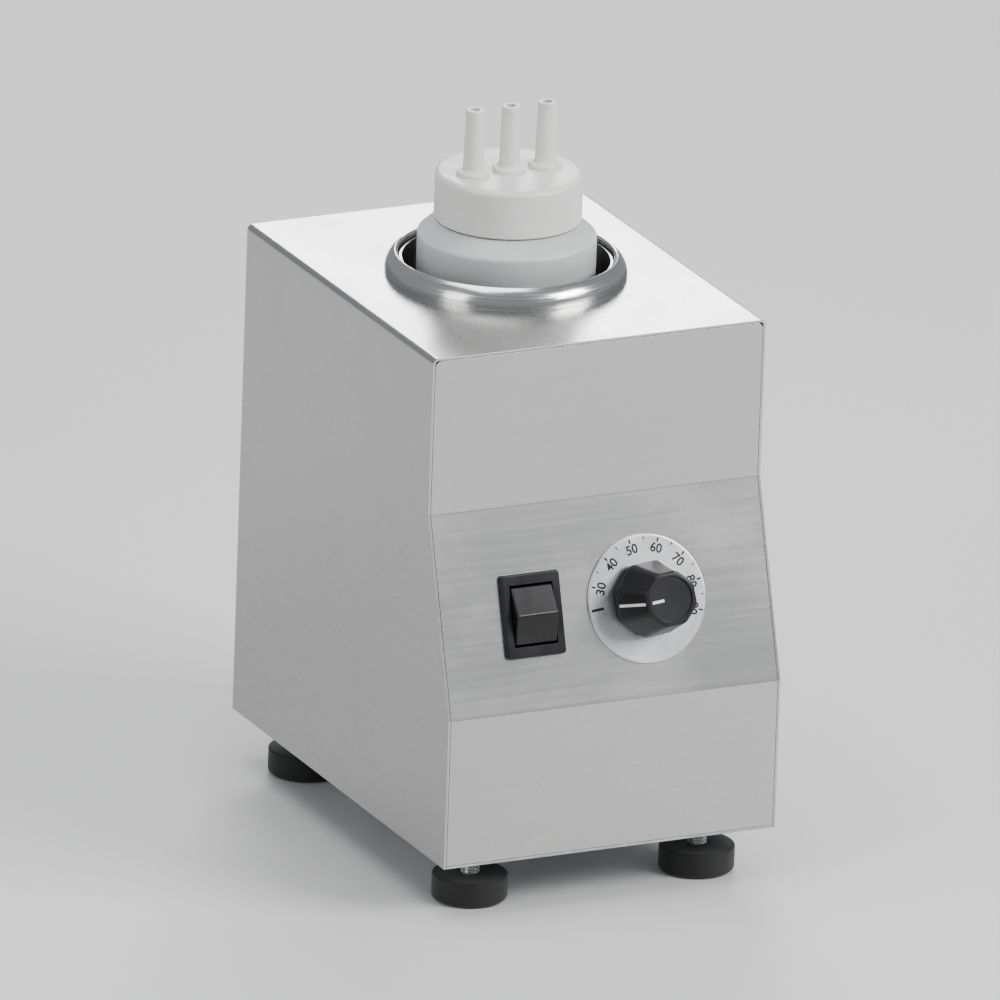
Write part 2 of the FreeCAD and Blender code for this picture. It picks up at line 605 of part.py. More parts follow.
def bushing_nut():
    nut = hexagon(14.0, DIAL_T, DIAL_T + 2.4).cut(rod(BUSHING_R + 0.05, -1, 9))
    return on_panel(nut, DIAL_X, DIAL_DOWN)


def dial_plate():
    plate = rod(DIAL_R, 0, DIAL_T)
    plate = plate.makeFillet(0.5, [e for e in plate.Edges if e.BoundBox.ZMin > DIAL_T - 0.1
                                   and e.Curve.TypeId == "Part::GeomCircle"])
    return on_panel(plate.cut(rod(BUSHING_R + 0.1, -1, 2)), DIAL_X, DIAL_DOWN)


def knob():
    """Tapered octagonal grip whose facets run into a round face. It is hollow underneath, where it covers
    the nut, and has a bore for the flatted shaft."""
    levels = ((DIAL_T + 0.6, KNOB_BASE_R - 1.0), (KNOB_SKIRT, KNOB_BASE_R), (KNOB_HEIGHT, KNOB_TIP_R))
    wires = [regular(8, radius, z, KNOB_CORNER) for z, radius in levels]
    lower = Part.makeLoft(wires[:2], True, True)
    upper = Part.makeLoft(wires[1:], True, True)
    top, face = KNOB_HEIGHT, KNOB_FACE_R
    turning = turned([(0, 0), (KNOB_BASE_R, 0), (KNOB_BASE_R + 0.1, KNOB_SKIRT), (face, top - 0.8),
                      ((face - 0.25, top - 0.2), (face - 0.8, top)), (0, top)])
    grip = joined([lower, upper]).common(turning)
    grip = grip.cut(rod(9.4, 0, DIAL_T + 6.0)).cut(rod(BUSHING_R + 0.8, 0, 9.0))
    bore = rod(SHAFT_R + 0.05, 0, 20.4).cut(block(-5, 5, SHAFT_R - 1.42, 5, 9.0, 21))
    return on_panel(grip.cut(bore), DIAL_X, DIAL_DOWN)


# ---- Rocker switch (modelled about its middle, +Z out of the panel) ------------------------------
def switch_housing():
    """The snap-in body and bezel, open at the front for the rocker."""
    bezel = block(-SWITCH_BEZEL_W / 2, SWITCH_BEZEL_W / 2, -SWITCH_BEZEL_H / 2, SWITCH_BEZEL_H / 2,
                  0, SWITCH_BEZEL_T)
    bezel = rounded(bezel, 1.5, lambda e: is_straight(e, "z"))
    bezel = bezel.makeFillet(0.8, [e for e in bezel.Edges if e.BoundBox.ZMin > SWITCH_BEZEL_T - 0.01])
    body = block(-SWITCH_BODY_W / 2, SWITCH_BODY_W / 2, -SWITCH_BODY_H / 2, SWITCH_BODY_H / 2, -SWITCH_DEPTH, 0.5)
    wall = 1.1
    hollow = block(-SWITCH_BODY_W / 2 + wall, SWITCH_BODY_W / 2 - wall, -SWITCH_BODY_H / 2 + wall,
                   SWITCH_BODY_H / 2 - wall, -SWITCH_DEPTH + 2.0, SWITCH_BEZEL_T + 3)
    housing = joined([bezel, body]).cut(hollow)
    latches = []
    for side in (-1, 1):
        y0, y1 = sorted((side * (SWITCH_BODY_H / 2 - 0.2), side * (SWITCH_BODY_H / 2 + 1.3)))
        latches.append(block(-4, 4, y0, y1, -SHEET - 5.0, -SHEET - 0.4))
    housing = joined([housing] + latches)
    for x in (-1, 1):
        housing = housing.cut(rod_between(V(x * 6, 0, ROCKER_PIVOT), V(x * 10.5, 0, ROCKER_PIVOT), 1.55))
    for x, y in switch_terminal_places():
        housing = housing.cut(block(x - 0.5, x + 0.5, y - 3.25, y + 3.25, -SWITCH_DEPTH - 1, -SWITCH_DEPTH + 3))
    return on_panel(housing, SWITCH_X, SWITCH_DOWN)


def switch_terminal_places():
    """The (x, y) of the four terminal tabs behind the switch."""
    return [(x, y) for x in (-4.6, 4.6) for y in (0.0, -8.6)]


def switch_terminals():
    tabs = []
    for x, y in switch_terminal_places():
        tab = block(x - 0.4, x + 0.4, y - 3.15, y + 3.15, -SWITCH_DEPTH - 9, -SWITCH_DEPTH + 2.4)
        if y == 0.0:
            tab = tab.fuse(block(x - 0.4, x + 0.4, y - 1.0, y + 1.0, -SWITCH_DEPTH + 2.0, SEESAW_PIVOT - 0.8))
        else:
            tab = tab.fuse(rod(1.3, -SWITCH_DEPTH + 2.2, SEESAW_PIVOT - 2.0, x, -7.9))
        tabs.append(on_panel(tab.removeSplitter(), SWITCH_X, SWITCH_DOWN))
    return group(tabs)


def switch_rocker():
    """A two-faced rocker with a ridge across its middle, its pivot pins and the post that works the contacts."""
    half_w, half_h = ROCKER_W / 2, ROCKER_REACH + 1.0
    ridge, end = 6.8, 1.8
    outline = [(-half_h, end), (0, ridge), (half_h, end), (half_h, ROCKER_PIVOT - 1.5),
               (4.0, ROCKER_PIVOT - 3.6), (-4.0, ROCKER_PIVOT - 3.6), (-half_h, ROCKER_PIVOT - 1.5)]
    body = prism([V(-half_w, y, z) for y, z in outline], V(ROCKER_W, 0, 0))
    ends = (V(-half_w - 1, 0, ROCKER_PIVOT), V(half_w + 1, 0, ROCKER_PIVOT))
    body = body.common(rod_between(*ends, ROCKER_REACH))
    body = rounded(body, 0.6, lambda e: e.BoundBox.ZMin > 2.0 and abs(e.BoundBox.XLength - ROCKER_W) > 1)
    body = rounded(body, 1.6, lambda e: is_straight(e, "x") and e.BoundBox.ZMin > ridge - 0.4)
    pins = rod_between(V(-half_w - 0.9, 0, ROCKER_PIVOT), V(half_w + 0.9, 0, ROCKER_PIVOT), 1.5)
    posts = [rod(1.5, SEESAW_PIVOT + 1.3, ROCKER_PIVOT - 3, x, 0) for x in (-4.6, 4.6)]
    rocker = joined([body, pins] + posts)
    return on_panel(turned_about_x(rocker, ROCKER_PIVOT, -ROCKER_TILT), SWITCH_X, SWITCH_DOWN)


def switch_contact_arms():
    """Two see-saw arms that tip on a round bead over the middle terminals, to touch or leave the lower ones."""
    arms = []
    for x in (-4.6, 4.6):
        arm = block(x - 1.8, x + 1.8, -9.5, 9.5, SEESAW_PIVOT, SEESAW_PIVOT + 0.8)
        button = rod(1.3, SEESAW_PIVOT - 1.0, SEESAW_PIVOT, x, -8.0)
        bead = rod_between(V(x - 1.8, 0, SEESAW_PIVOT), V(x + 1.8, 0, SEESAW_PIVOT), 0.6)
        arms.append(turned_about_x(joined([arm, button, bead]), SEESAW_PIVOT, SEESAW_TILT))
    return group([on_panel(a, SWITCH_X, SWITCH_DOWN) for a in arms])


# ---- Feet ----------------------------------------------------------------------------------------
def foot_pad(x, y):
    """The rubber puck, with its lower edge rounded and a socket for the stud's head."""
    pad = turned([(0, 1.2), (9.0, 1.2), (9.6, 0.0), (PAD_R - 2.2, 0.0),
                  ((PAD_R - 0.65, 0.65), (PAD_R, 2.2)), (PAD_R, PAD_HEIGHT - 0.8),
                  ((PAD_R - 0.24, PAD_HEIGHT - 0.24), (PAD_R - 0.8, PAD_HEIGHT)),
                  (STUD_R + 0.1, PAD_HEIGHT), (STUD_R + 0.1, 8.1), (7.1, 8.1), (7.1, 4.9), (0, 4.9)], x, y)
    return pad


def foot_stud(x, y):
    """The threaded stud, its thread cut as rings, with the disc that is moulded into the pad."""
    pitch, depth = 1.25, 0.6
    steps = [(0, 5.0), (7.0, 5.0), (7.0, 8.0), (STUD_R, 8.0), (STUD_R, PAD_HEIGHT + 0.6)]
    turns = int((STUD_TOP - 1.0 - steps[-1][1]) / pitch)
    for k in range(turns):
        z = PAD_HEIGHT + 0.6 + pitch * k
        steps += [(STUD_R - depth, z + 0.45 * pitch), (STUD_R - depth, z + 0.55 * pitch), (STUD_R, z + pitch)]
    steps += [(STUD_R - 1.0, STUD_TOP), (0, STUD_TOP)]
    return turned(steps, x, y)


def foot_places():
    return [(name, side * FOOT_X, WELL_Y + y) for (side, y), name in FOOT_NAMES.items()]


def foot_lock_nuts():
    return group([hexagon(13.0, BASE_Z - LOCK_NUT, BASE_Z, x, y).cut(rod(STUD_R + 0.06, 0, 50, x, y))
                  for _, x, y in foot_places()])


def foot_weld_nuts():
    return group([hexagon(13.0, BASE_Z + SHEET, BASE_Z + SHEET + WELD_NUT, x, y)
                  .cut(rod(STUD_R + 0.06, 0, 50, x, y)) for _, x, y in foot_places()])


# ---- Power inlet, terminal block and earth -------------------------------------------------------
def inlet_pin_places():
    """The (x, z) of the inlet's three pins, from its middle; the earth pin is first."""
    return ((0.0, 4.0), (-7.0, 0.0), (7.0, 0.0))


def power_inlet():
    """The moulded appliance inlet: a flange outside, a socket recess, and the body behind the panel."""
    flange = block(-INLET_FLANGE_W / 2, INLET_FLANGE_W / 2, BACK_Y, BACK_Y + INLET_FLANGE_T,
                   INLET_Z - INLET_FLANGE_H / 2, INLET_Z + INLET_FLANGE_H / 2)
    flange = rounded(flange, 4.0, lambda e: is_straight(e, "y"))
    flange = flange.makeFillet(0.6, [e for e in flange.Edges if e.BoundBox.YMin > BACK_Y + INLET_FLANGE_T - 0.01])
    half_w, half_h = INLET_BODY_W / 2, INLET_BODY_H / 2
    body = block(-half_w, half_w, BACK_Y - INLET_DEPTH - 2, BACK_Y + 0.5, INLET_Z - half_h, INLET_Z + half_h)
    recess_w, recess_h, cut = INLET_RECESS_W / 2, INLET_RECESS_H / 2, 4.6
    corners = [(-recess_w, -recess_h), (recess_w, -recess_h), (recess_w, recess_h - cut),
               (recess_w - cut, recess_h), (-recess_w + cut, recess_h), (-recess_w, recess_h - cut)]
    recess = prism([V(x, BACK_Y + 10, INLET_Z + z) for x, z in corners], V(0, -INLET_DEPTH - 10, 0))
    inlet = joined([flange, body]).cut(recess)
    for x, z in inlet_pin_places():
        slot = block(x - 1.05, x + 1.05, BACK_Y - 25, BACK_Y - 10, INLET_Z + z - 2.05, INLET_Z + z + 2.05)
        inlet = inlet.cut(slot)
    for side in (-1, 1):
        x = side * INLET_SCREWS / 2
        inlet = inlet.cut(rod_between(V(x, BACK_Y - 1, INLET_Z), V(x, BACK_Y + 5, INLET_Z), 1.8))
    return inlet


def power_inlet_pins():
    """Three flat pins that go through the inlet's floor and end as solder tabs."""
    pins = []
    for x, z in inlet_pin_places():
        reach = 1.5 if z else 3.0
        pin = block(x - 1.0, x + 1.0, BACK_Y - INLET_DEPTH - 8, BACK_Y - reach, INLET_Z + z - 2, INLET_Z + z + 2)
        pins.append(rounded(pin, 0.6, lambda e: e.BoundBox.YMin > BACK_Y - reach - 0.01))
    return group(pins)


def power_inlet_screws():
    parts = []
    for side in (-1, 1):
        x = side * INLET_SCREWS / 2
        parts.append(pan_screw(V(x, BACK_Y - 7, INLET_Z), V(x, BACK_Y + INLET_FLANGE_T, INLET_Z)))
        nut = hexagon(5.5, 0, 2.4).cut(rod(1.5, -1, 5))
        nut.rotate(V(0, 0, 0), V(1, 0, 0), 90)
        nut.translate(V(x, BACK_Y - SHEET, INLET_Z))
        parts.append(nut)
    return group(parts)


BLOCK_X, BLOCK_Y, BLOCK_PITCH = 4.0, LOWER_Y + 40.0, 11.0


def terminal_block_ways():
    """The X of the three ways of the terminal block: live, neutral, earth."""
    return [BLOCK_X + BLOCK_PITCH * k for k in (-1, 0, 1)]


def terminal_block():
    """Three-way ceramic block on the base plate: a wire enters each way at the front and the back."""
    low = BASE_Z + SHEET
    body = block(BLOCK_X - 17.5, BLOCK_X + 17.5, BLOCK_Y - 9, BLOCK_Y + 9, low, low + 16)
    body = rounded(body, 1.5, lambda e: is_straight(e, "z"))
    for x in terminal_block_ways():
        body = body.cut(block(x - 3.6, x + 3.6, BLOCK_Y - 10, BLOCK_Y + 10, low + 4, low + 11))
        for y in (-4.5, 4.5):
            body = body.cut(rod(2.4, low + 10, low + 17, x, BLOCK_Y + y))
    for x in terminal_block_ways()[:2]:
        body = body.cut(rod(1.6, low - 1, low + 5, x + BLOCK_PITCH / 2, BLOCK_Y))
    return body


def terminal_block_inserts():
    """The brass sleeve of each way, with its two clamp screws."""
    low = BASE_Z + SHEET
    parts = []
    for x in terminal_block_ways():
        sleeve = block(x - 3.5, x + 3.5, BLOCK_Y - 8, BLOCK_Y + 8, low + 4.1, low + 10.9)
        sleeve = sleeve.cut(rod_between(V(x, BLOCK_Y - 10, low + 7), V(x, BLOCK_Y + 10, low + 7), 1.9))
        screws = [rod(1.9, low + 9.5, low + 14, x, BLOCK_Y + y).cut(
            block(x - 2, x + 2, BLOCK_Y + y - 0.4, BLOCK_Y + y + 0.4, low + 13.2, low + 15)) for y in (-4.5, 4.5)]
        parts.append(joined([sleeve] + screws))
    return group(parts)


def earth_place():
    return -38.0, WELL_Y + 40.0


def earth_stud():
    """The earth stud welded to the base plate, with its nut."""
    x, y = earth_place()
    stud = rod(2.0, BASE_Z, BASE_Z + 14, x, y)
    nut = hexagon(7.0, BASE_Z + SHEET + 2.4, BASE_Z + SHEET + 5.6, x, y).cut(rod(2.05, 0, 60, x, y))
    return group([stud, nut])


# ---- Wiring (each lead is held at both ends) -----------------------------------------------------
LEAD_R = 1.3
LEAD_BEND = 9.0


def lead(points):
    return bent_rod(points, LEAD_R, LEAD_BEND)


def switch_tab(index):
    """The end of one of the switch's tabs, and a point straight behind it."""
    x, y = switch_terminal_places()[index]
    return [panel_point(SWITCH_X, SWITCH_DOWN, x, y, -SWITCH_DEPTH - 9.2 - out) for out in (0, 11.0)]


def thermostat_tab(index):
    x = THERMOSTAT_TERMINAL_X[index]
    return [panel_point(DIAL_X, DIAL_DOWN, x, 9.0, THERMOSTAT_BACK - 8.2 - out) for out in (0, 6.0)]


def inlet_tab(index):
    x, z = inlet_pin_places()[index]
    y = BACK_Y - INLET_DEPTH - 8.2
    return [V(x, y, INLET_Z + z), V(x, y - 9, INLET_Z + z)]


def block_end(way, back):
    """The mouth of a way of the terminal block, and a point straight out of it."""
    x = terminal_block_ways()[way]
    z = BASE_Z + SHEET + 7
    side = 1 if back else -1
    return [V(x, BLOCK_Y + side * 8.2, z), V(x, BLOCK_Y + side * 17, z)]


def heater_tab(index):
    side, z = heater_terminal_places()[index]
    x = side * (HEATER_GAP / 2 + 5.0)
    y = WELL_Y + HEATER_OUTER_R + 11.0
    return [V(x, y, z - 3.4), V(x, y, z - 14)]


def cutout_tab(index):
    x = (-4.5, 4.5)[index]
    return [V(x, WELL_Y, CUTOUT_TOP - 17.2), V(x, WELL_Y, CUTOUT_TOP - 24)]


def leads_live():
    """Brown: inlet to block, block to switch, switch to thermostat, thermostat to cut-out, cut-out to heater."""
    a0, a1 = inlet_tab(1)
    b0, b1 = block_end(0, True)
    c0, c1 = block_end(0, False)
    d0, d1 = switch_tab(1)
    e0, e1 = switch_tab(0)
    f0, f1 = thermostat_tab(0)
    g0, g1 = thermostat_tab(1)
    h0, h1 = cutout_tab(1)
    i0, i1 = cutout_tab(0)
    j0, j1 = heater_tab(0)
    return group([
        lead([a0, a1, V(-22, WELL_Y + 44, 50), V(-24, WELL_Y + 10, 38), V(-16, WELL_Y - 30, 32), b1, b0]),
        lead([c0, c1, V(c1.x - 8, c1.y - 7, 45), V(d1.x + 1, d1.y + 4, 66), d1, d0]),
        lead([e0, e1, V(e1.x + 5, e1.y - 6, 134), V(f1.x - 12, f1.y - 9, 136), f1, f0]),
        lead([g0, g1, V(g1.x + 6, g1.y - 2, 92), V(32, WELL_Y - 46, 52), V(16, WELL_Y - 12, 38), h1, h0]),
        lead([i0, i1, V(-20, WELL_Y - 4, 40), V(-48, WELL_Y + 22, 50), V(-46, WELL_Y + 52, 68),
              V(j1.x - 8, j1.y + 2, 98), j1, j0]),
    ])


def leads_neutral():
    """Blue: inlet to block, block to switch, switch to heater."""
    a0, a1 = inlet_tab(2)
    b0, b1 = block_end(1, True)
    c0, c1 = block_end(1, False)
    d0, d1 = switch_tab(3)
    e0, e1 = switch_tab(2)
    j0, j1 = heater_tab(1)
    return group([
        lead([a0, a1, V(28, WELL_Y + 42, 48), V(26, WELL_Y + 10, 34), V(12, WELL_Y - 32, 29.5), b1, b0]),
        lead([c0, c1, V(c1.x - 9, c1.y - 9, 46), V(d1.x + 2, d1.y - 4, 60), d1, d0]),
        lead([e0, e1, V(e1.x + 4, e1.y + 2, 90), V(40, WELL_Y - 62, 60), V(58, WELL_Y - 34, 50),
              V(52, WELL_Y + 30, 50), V(34, WELL_Y + 56, 62), V(j1.x + 8, j1.y + 2, 98), j1, j0]),
    ])


def leads_earth():
    """Green and yellow: inlet to earth stud, and earth stud to block."""
    x, y = earth_place()
    a0, a1 = inlet_tab(0)
    b0, b1 = block_end(2, True)
    eye = BASE_Z + SHEET + 1.5
    return group([
        lead([a0, a1, V(-8, WELL_Y + 50, 46), V(-20, WELL_Y + 42, 32), V(x + 8, y + 1, eye + 0.5),
              V(x + 4.8, y + 0.4, eye)]),
        lead([V(x, y - 4.8, eye), V(x, y - 14, eye + 1), V(-26, WELL_Y + 2, 29), V(20, WELL_Y - 30, 40),
              V(b1.x + 3, b1.y + 8, 34), b1, b0]),
    ])


def earth_eyelet():
    """The ring terminal under the earth nut."""
    x, y = earth_place()
    z = BASE_Z + SHEET
    return ring(4.7, 2.1, z + 0.05, z + 2.35, x, y)


def capillary_tube():
    """The thin copper tube from the capsule, under the well, up to the bulb."""
    start = panel_point(DIAL_X, DIAL_DOWN, 0, CAPSULE_UP - 3, -29.2)
    out = panel_point(DIAL_X, DIAL_DOWN, 0, CAPSULE_UP - 3, -36)
    return bent_rod([start, out, V(start.x + 4, out.y + 2, 74), V(44, WELL_Y - 52, 58), V(64, WELL_Y - 20, 56),
                     V(64, WELL_Y + 30, 58), V(40, WELL_Y + 62, 68), V(8, WELL_Y + 66, 78),
                     V(0, BULB_Y + 4, 84), V(0, BULB_Y, 92), V(0, BULB_Y, BULB_LOW)], CAPILLARY_R, 12.0)


# ---- Bottle, cap and nozzles ---------------------------------------------------------------------
def bottle_outline(inset):
    """The bottle's half-section as (r, z), drawn in by inset, from the middle of its base to its mouth."""
    foot = WELL_FLOOR + 0.2
    body, neck = BOTTLE_R - inset, NECK_R - inset
    shoulder = TOP_Z + BOTTLE_SHOULDER - inset
    slope_top = TOP_Z + CAP_BOTTOM - 0.6 - inset
    return [(0, foot + 3.0 + inset), (22.0, foot + 3.0 + inset), (28.0, foot + inset), (body - 5.0, foot + inset),
            ((body - 1.46, foot + inset + 1.46), (body, foot + inset + 5.0)), (body, shoulder - 2.4),
            ((body - 0.5, shoulder - 0.9), (body - 1.9, shoulder)), (SHOULDER_TOP_R - inset, slope_top),
            (neck, slope_top)]


def bottle():
    """The squeeze bottle, open at its neck, with the thread drawn as two plain rings."""
    top = TOP_Z + NECK_TOP
    ridges = []
    for k in (0, 1):
        z = TOP_Z + CAP_BOTTOM + 2.6 + THREAD_PITCH * k
        ridges += [(NECK_R, z), (NECK_R + THREAD_HEIGHT, z + 0.5), (NECK_R + THREAD_HEIGHT, z + 1.2),
                   (NECK_R, z + 1.9)]
    outer = turned(bottle_outline(0.0) + ridges + [(NECK_R, top - 0.6), (NECK_R - 0.6, top), (0, top)], 0, WELL_Y)
    inner = turned(bottle_outline(BOTTLE_WALL) + [(NECK_R - BOTTLE_WALL, top + 5), (0, top + 5)], 0, WELL_Y)
    return outer.cut(inner)


def cap_gasket():
    """The liner ring between the bottle's mouth and the cap."""
    low = TOP_Z + NECK_TOP + 0.1
    return ring(CAP_R - CAP_WALL - 0.3, 24.0, low, low + 1.4, 0, WELL_Y)


def cap_underside():
    return TOP_Z + NECK_TOP + 1.6


def nozzle_places():
    return [(name, NOZZLE_PITCH * k) for k, name in ((-1, "left"), (0, "middle"), (1, "right"))]


def bottle_cap():
    low, top = TOP_Z + CAP_BOTTOM, TOP_Z + CAP_TOP
    cap = turned([(0, cap_underside()), (CAP_R - CAP_WALL, cap_underside()), (CAP_R - CAP_WALL, low),
                  (CAP_R - 0.4, low), (CAP_R, low + 0.4), (CAP_R, top - 1.8),
                  ((CAP_R - 0.7, top - 0.6), (CAP_R - 3.4, top)), (0, top)], 0, WELL_Y)
    for _, x in nozzle_places():
        cap = cap.cut(rod(3.3, cap_underside() - 1, top + 1, x, WELL_Y))
    return cap


def nozzle(x):
    """One nozzle: a spigot through the cap, a round foot on it, and a slightly tapered tube."""
    foot, tip = TOP_Z + CAP_TOP, TOP_Z + NOZZLE_TOP
    return turned([(NOZZLE_BORE, cap_underside() - 1.2), (3.2, cap_underside() - 1.2), (3.2, foot + 0.02),
                   (NOZZLE_FOOT_R, foot + 0.02), (NOZZLE_FOOT_R, foot + 0.9),
                   ((NOZZLE_FOOT_R - 0.3, foot + 1.6), (NOZZLE_FOOT_R - 1.0, foot + 1.9)),
                   ((4.75, foot + 2.3), (4.3, foot + 3.6)), (3.75, tip - 0.6),
                   ((3.6, tip - 0.15), (3.2, tip)), (NOZZLE_BORE, tip)], x, WELL_Y)


# ---- Output --------------------------------------------------------------------------------------
def nodes():
    """Every sub-part, by name."""
    made = {f.__name__: f() for f in (
        top_and_sides_cover, front_panel, back_panel, base_plate, back_panel_screws, base_screws,
        well_collar, collar_seal, collar_retaining_ring, well_cup, hanger_studs, hanger_spacers, hanger_nuts,
        heater_band, heater_clamp_screws, heater_terminals, insulation_jacket,
        sensor_bulb, bulb_clips, capillary_tube, thermal_cutout, cutout_studs,
        thermostat_frame, thermostat_contact_base, thermostat_terminals, thermostat_capsule, thermostat_shaft,
        bushing_nut, dial_plate, knob,
        switch_housing, switch_terminals, switch_rocker, switch_contact_arms,
        foot_lock_nuts, foot_weld_nuts,
        power_inlet, power_inlet_pins, power_inlet_screws, terminal_block, terminal_block_inserts,
        earth_stud, earth_eyelet, leads_live, leads_neutral, leads_earth,
        bottle, cap_gasket, bottle_cap)}
    for name, x, y in foot_places():
        made["foot_pad_" + name] = foot_pad(x, y)
        made["foot_stud_" + name] = foot_stud(x, y)
    for name, x in nozzle_places():
        made["nozzle_" + name] = nozzle(x)
    return made


def main():
    os.makedirs("parts", exist_ok=True)
    for name, shape in nodes().items():
        volumes = [round(solid.Volume, 1) for solid in shape.Solids]
        if not shape.isValid() or not volumes or min(volumes) <= 0:
            raise ValueError("%s is not made of closed solids: %s" % (name, volumes))
        shape.exportStep("parts/%s.step" % name)
        print("%-26s %2d solids %10.1f mm3" % (name, len(volumes), sum(volumes)))


main()
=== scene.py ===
import json
import math
import bmesh
import bpy
from mathutils import Matrix, Quaternion, Vector

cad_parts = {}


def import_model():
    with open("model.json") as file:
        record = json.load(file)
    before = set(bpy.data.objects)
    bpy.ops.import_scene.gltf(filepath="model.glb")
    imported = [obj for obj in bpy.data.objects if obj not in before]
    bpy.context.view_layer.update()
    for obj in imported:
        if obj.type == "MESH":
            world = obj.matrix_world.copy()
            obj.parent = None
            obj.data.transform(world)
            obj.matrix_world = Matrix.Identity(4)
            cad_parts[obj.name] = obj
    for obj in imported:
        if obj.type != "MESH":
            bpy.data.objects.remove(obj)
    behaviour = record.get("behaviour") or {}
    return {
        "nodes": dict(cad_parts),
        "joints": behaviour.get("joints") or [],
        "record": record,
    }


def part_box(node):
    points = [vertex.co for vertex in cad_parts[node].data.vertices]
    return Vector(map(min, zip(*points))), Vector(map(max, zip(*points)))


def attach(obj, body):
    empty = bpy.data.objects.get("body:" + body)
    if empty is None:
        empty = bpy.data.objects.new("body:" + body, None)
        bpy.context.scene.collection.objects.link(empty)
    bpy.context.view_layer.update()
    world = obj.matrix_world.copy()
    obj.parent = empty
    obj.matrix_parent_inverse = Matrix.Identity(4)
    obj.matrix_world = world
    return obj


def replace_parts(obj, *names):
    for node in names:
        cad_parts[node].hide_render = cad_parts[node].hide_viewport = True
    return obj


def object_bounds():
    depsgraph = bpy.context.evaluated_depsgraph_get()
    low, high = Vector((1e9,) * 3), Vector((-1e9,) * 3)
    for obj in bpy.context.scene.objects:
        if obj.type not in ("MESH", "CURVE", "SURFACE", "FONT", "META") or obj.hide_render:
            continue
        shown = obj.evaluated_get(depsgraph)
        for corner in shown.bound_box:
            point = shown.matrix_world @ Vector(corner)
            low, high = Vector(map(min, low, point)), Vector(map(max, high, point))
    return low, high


# The look of a countertop cheese warmer: brushed stainless sheet, black controls, a milky squeeze
# bottle. Everything is in metres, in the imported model's own frame: +X right, the control panel
# facing -Y, +Z up.

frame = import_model()
cad_low, cad_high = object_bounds()
nodes = frame["nodes"]
joints = {joint["name"]: joint for joint in frame["joints"]}

MM = 0.001
ROUND_STEPS = 144            # points round the knob and the bottle


# ---- Places taken from the frame -----------------------------------------------------------------
def middle(node):
    low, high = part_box(node)
    return (low + high) / 2


def reach(node, start, direction):
    """How far a node extends from start along direction."""
    return max((vertex.co - start).dot(direction) for vertex in nodes[node].data.vertices)


WELL = middle("bottle_cap")
PANEL_OUT = -Vector(joints["knob_turn"]["axis"]).normalized()
PANEL_RIGHT = Vector((1, 0, 0))
PANEL_UP = PANEL_OUT.cross(PANEL_RIGHT)
DIAL = Vector(joints["knob_turn"]["pos_m"])
DIAL_FACE = reach("dial_plate", DIAL, PANEL_OUT)
DIAL_RADIUS = reach("dial_plate", DIAL, PANEL_RIGHT)


def panel_matrix(origin):
    """Carries a piece modelled about the origin, +Y up the slope and +Z out of the panel, to origin."""
    turn = Matrix((PANEL_RIGHT, PANEL_UP, PANEL_OUT)).transposed()
    return Matrix.Translation(origin) @ turn.to_4x4()


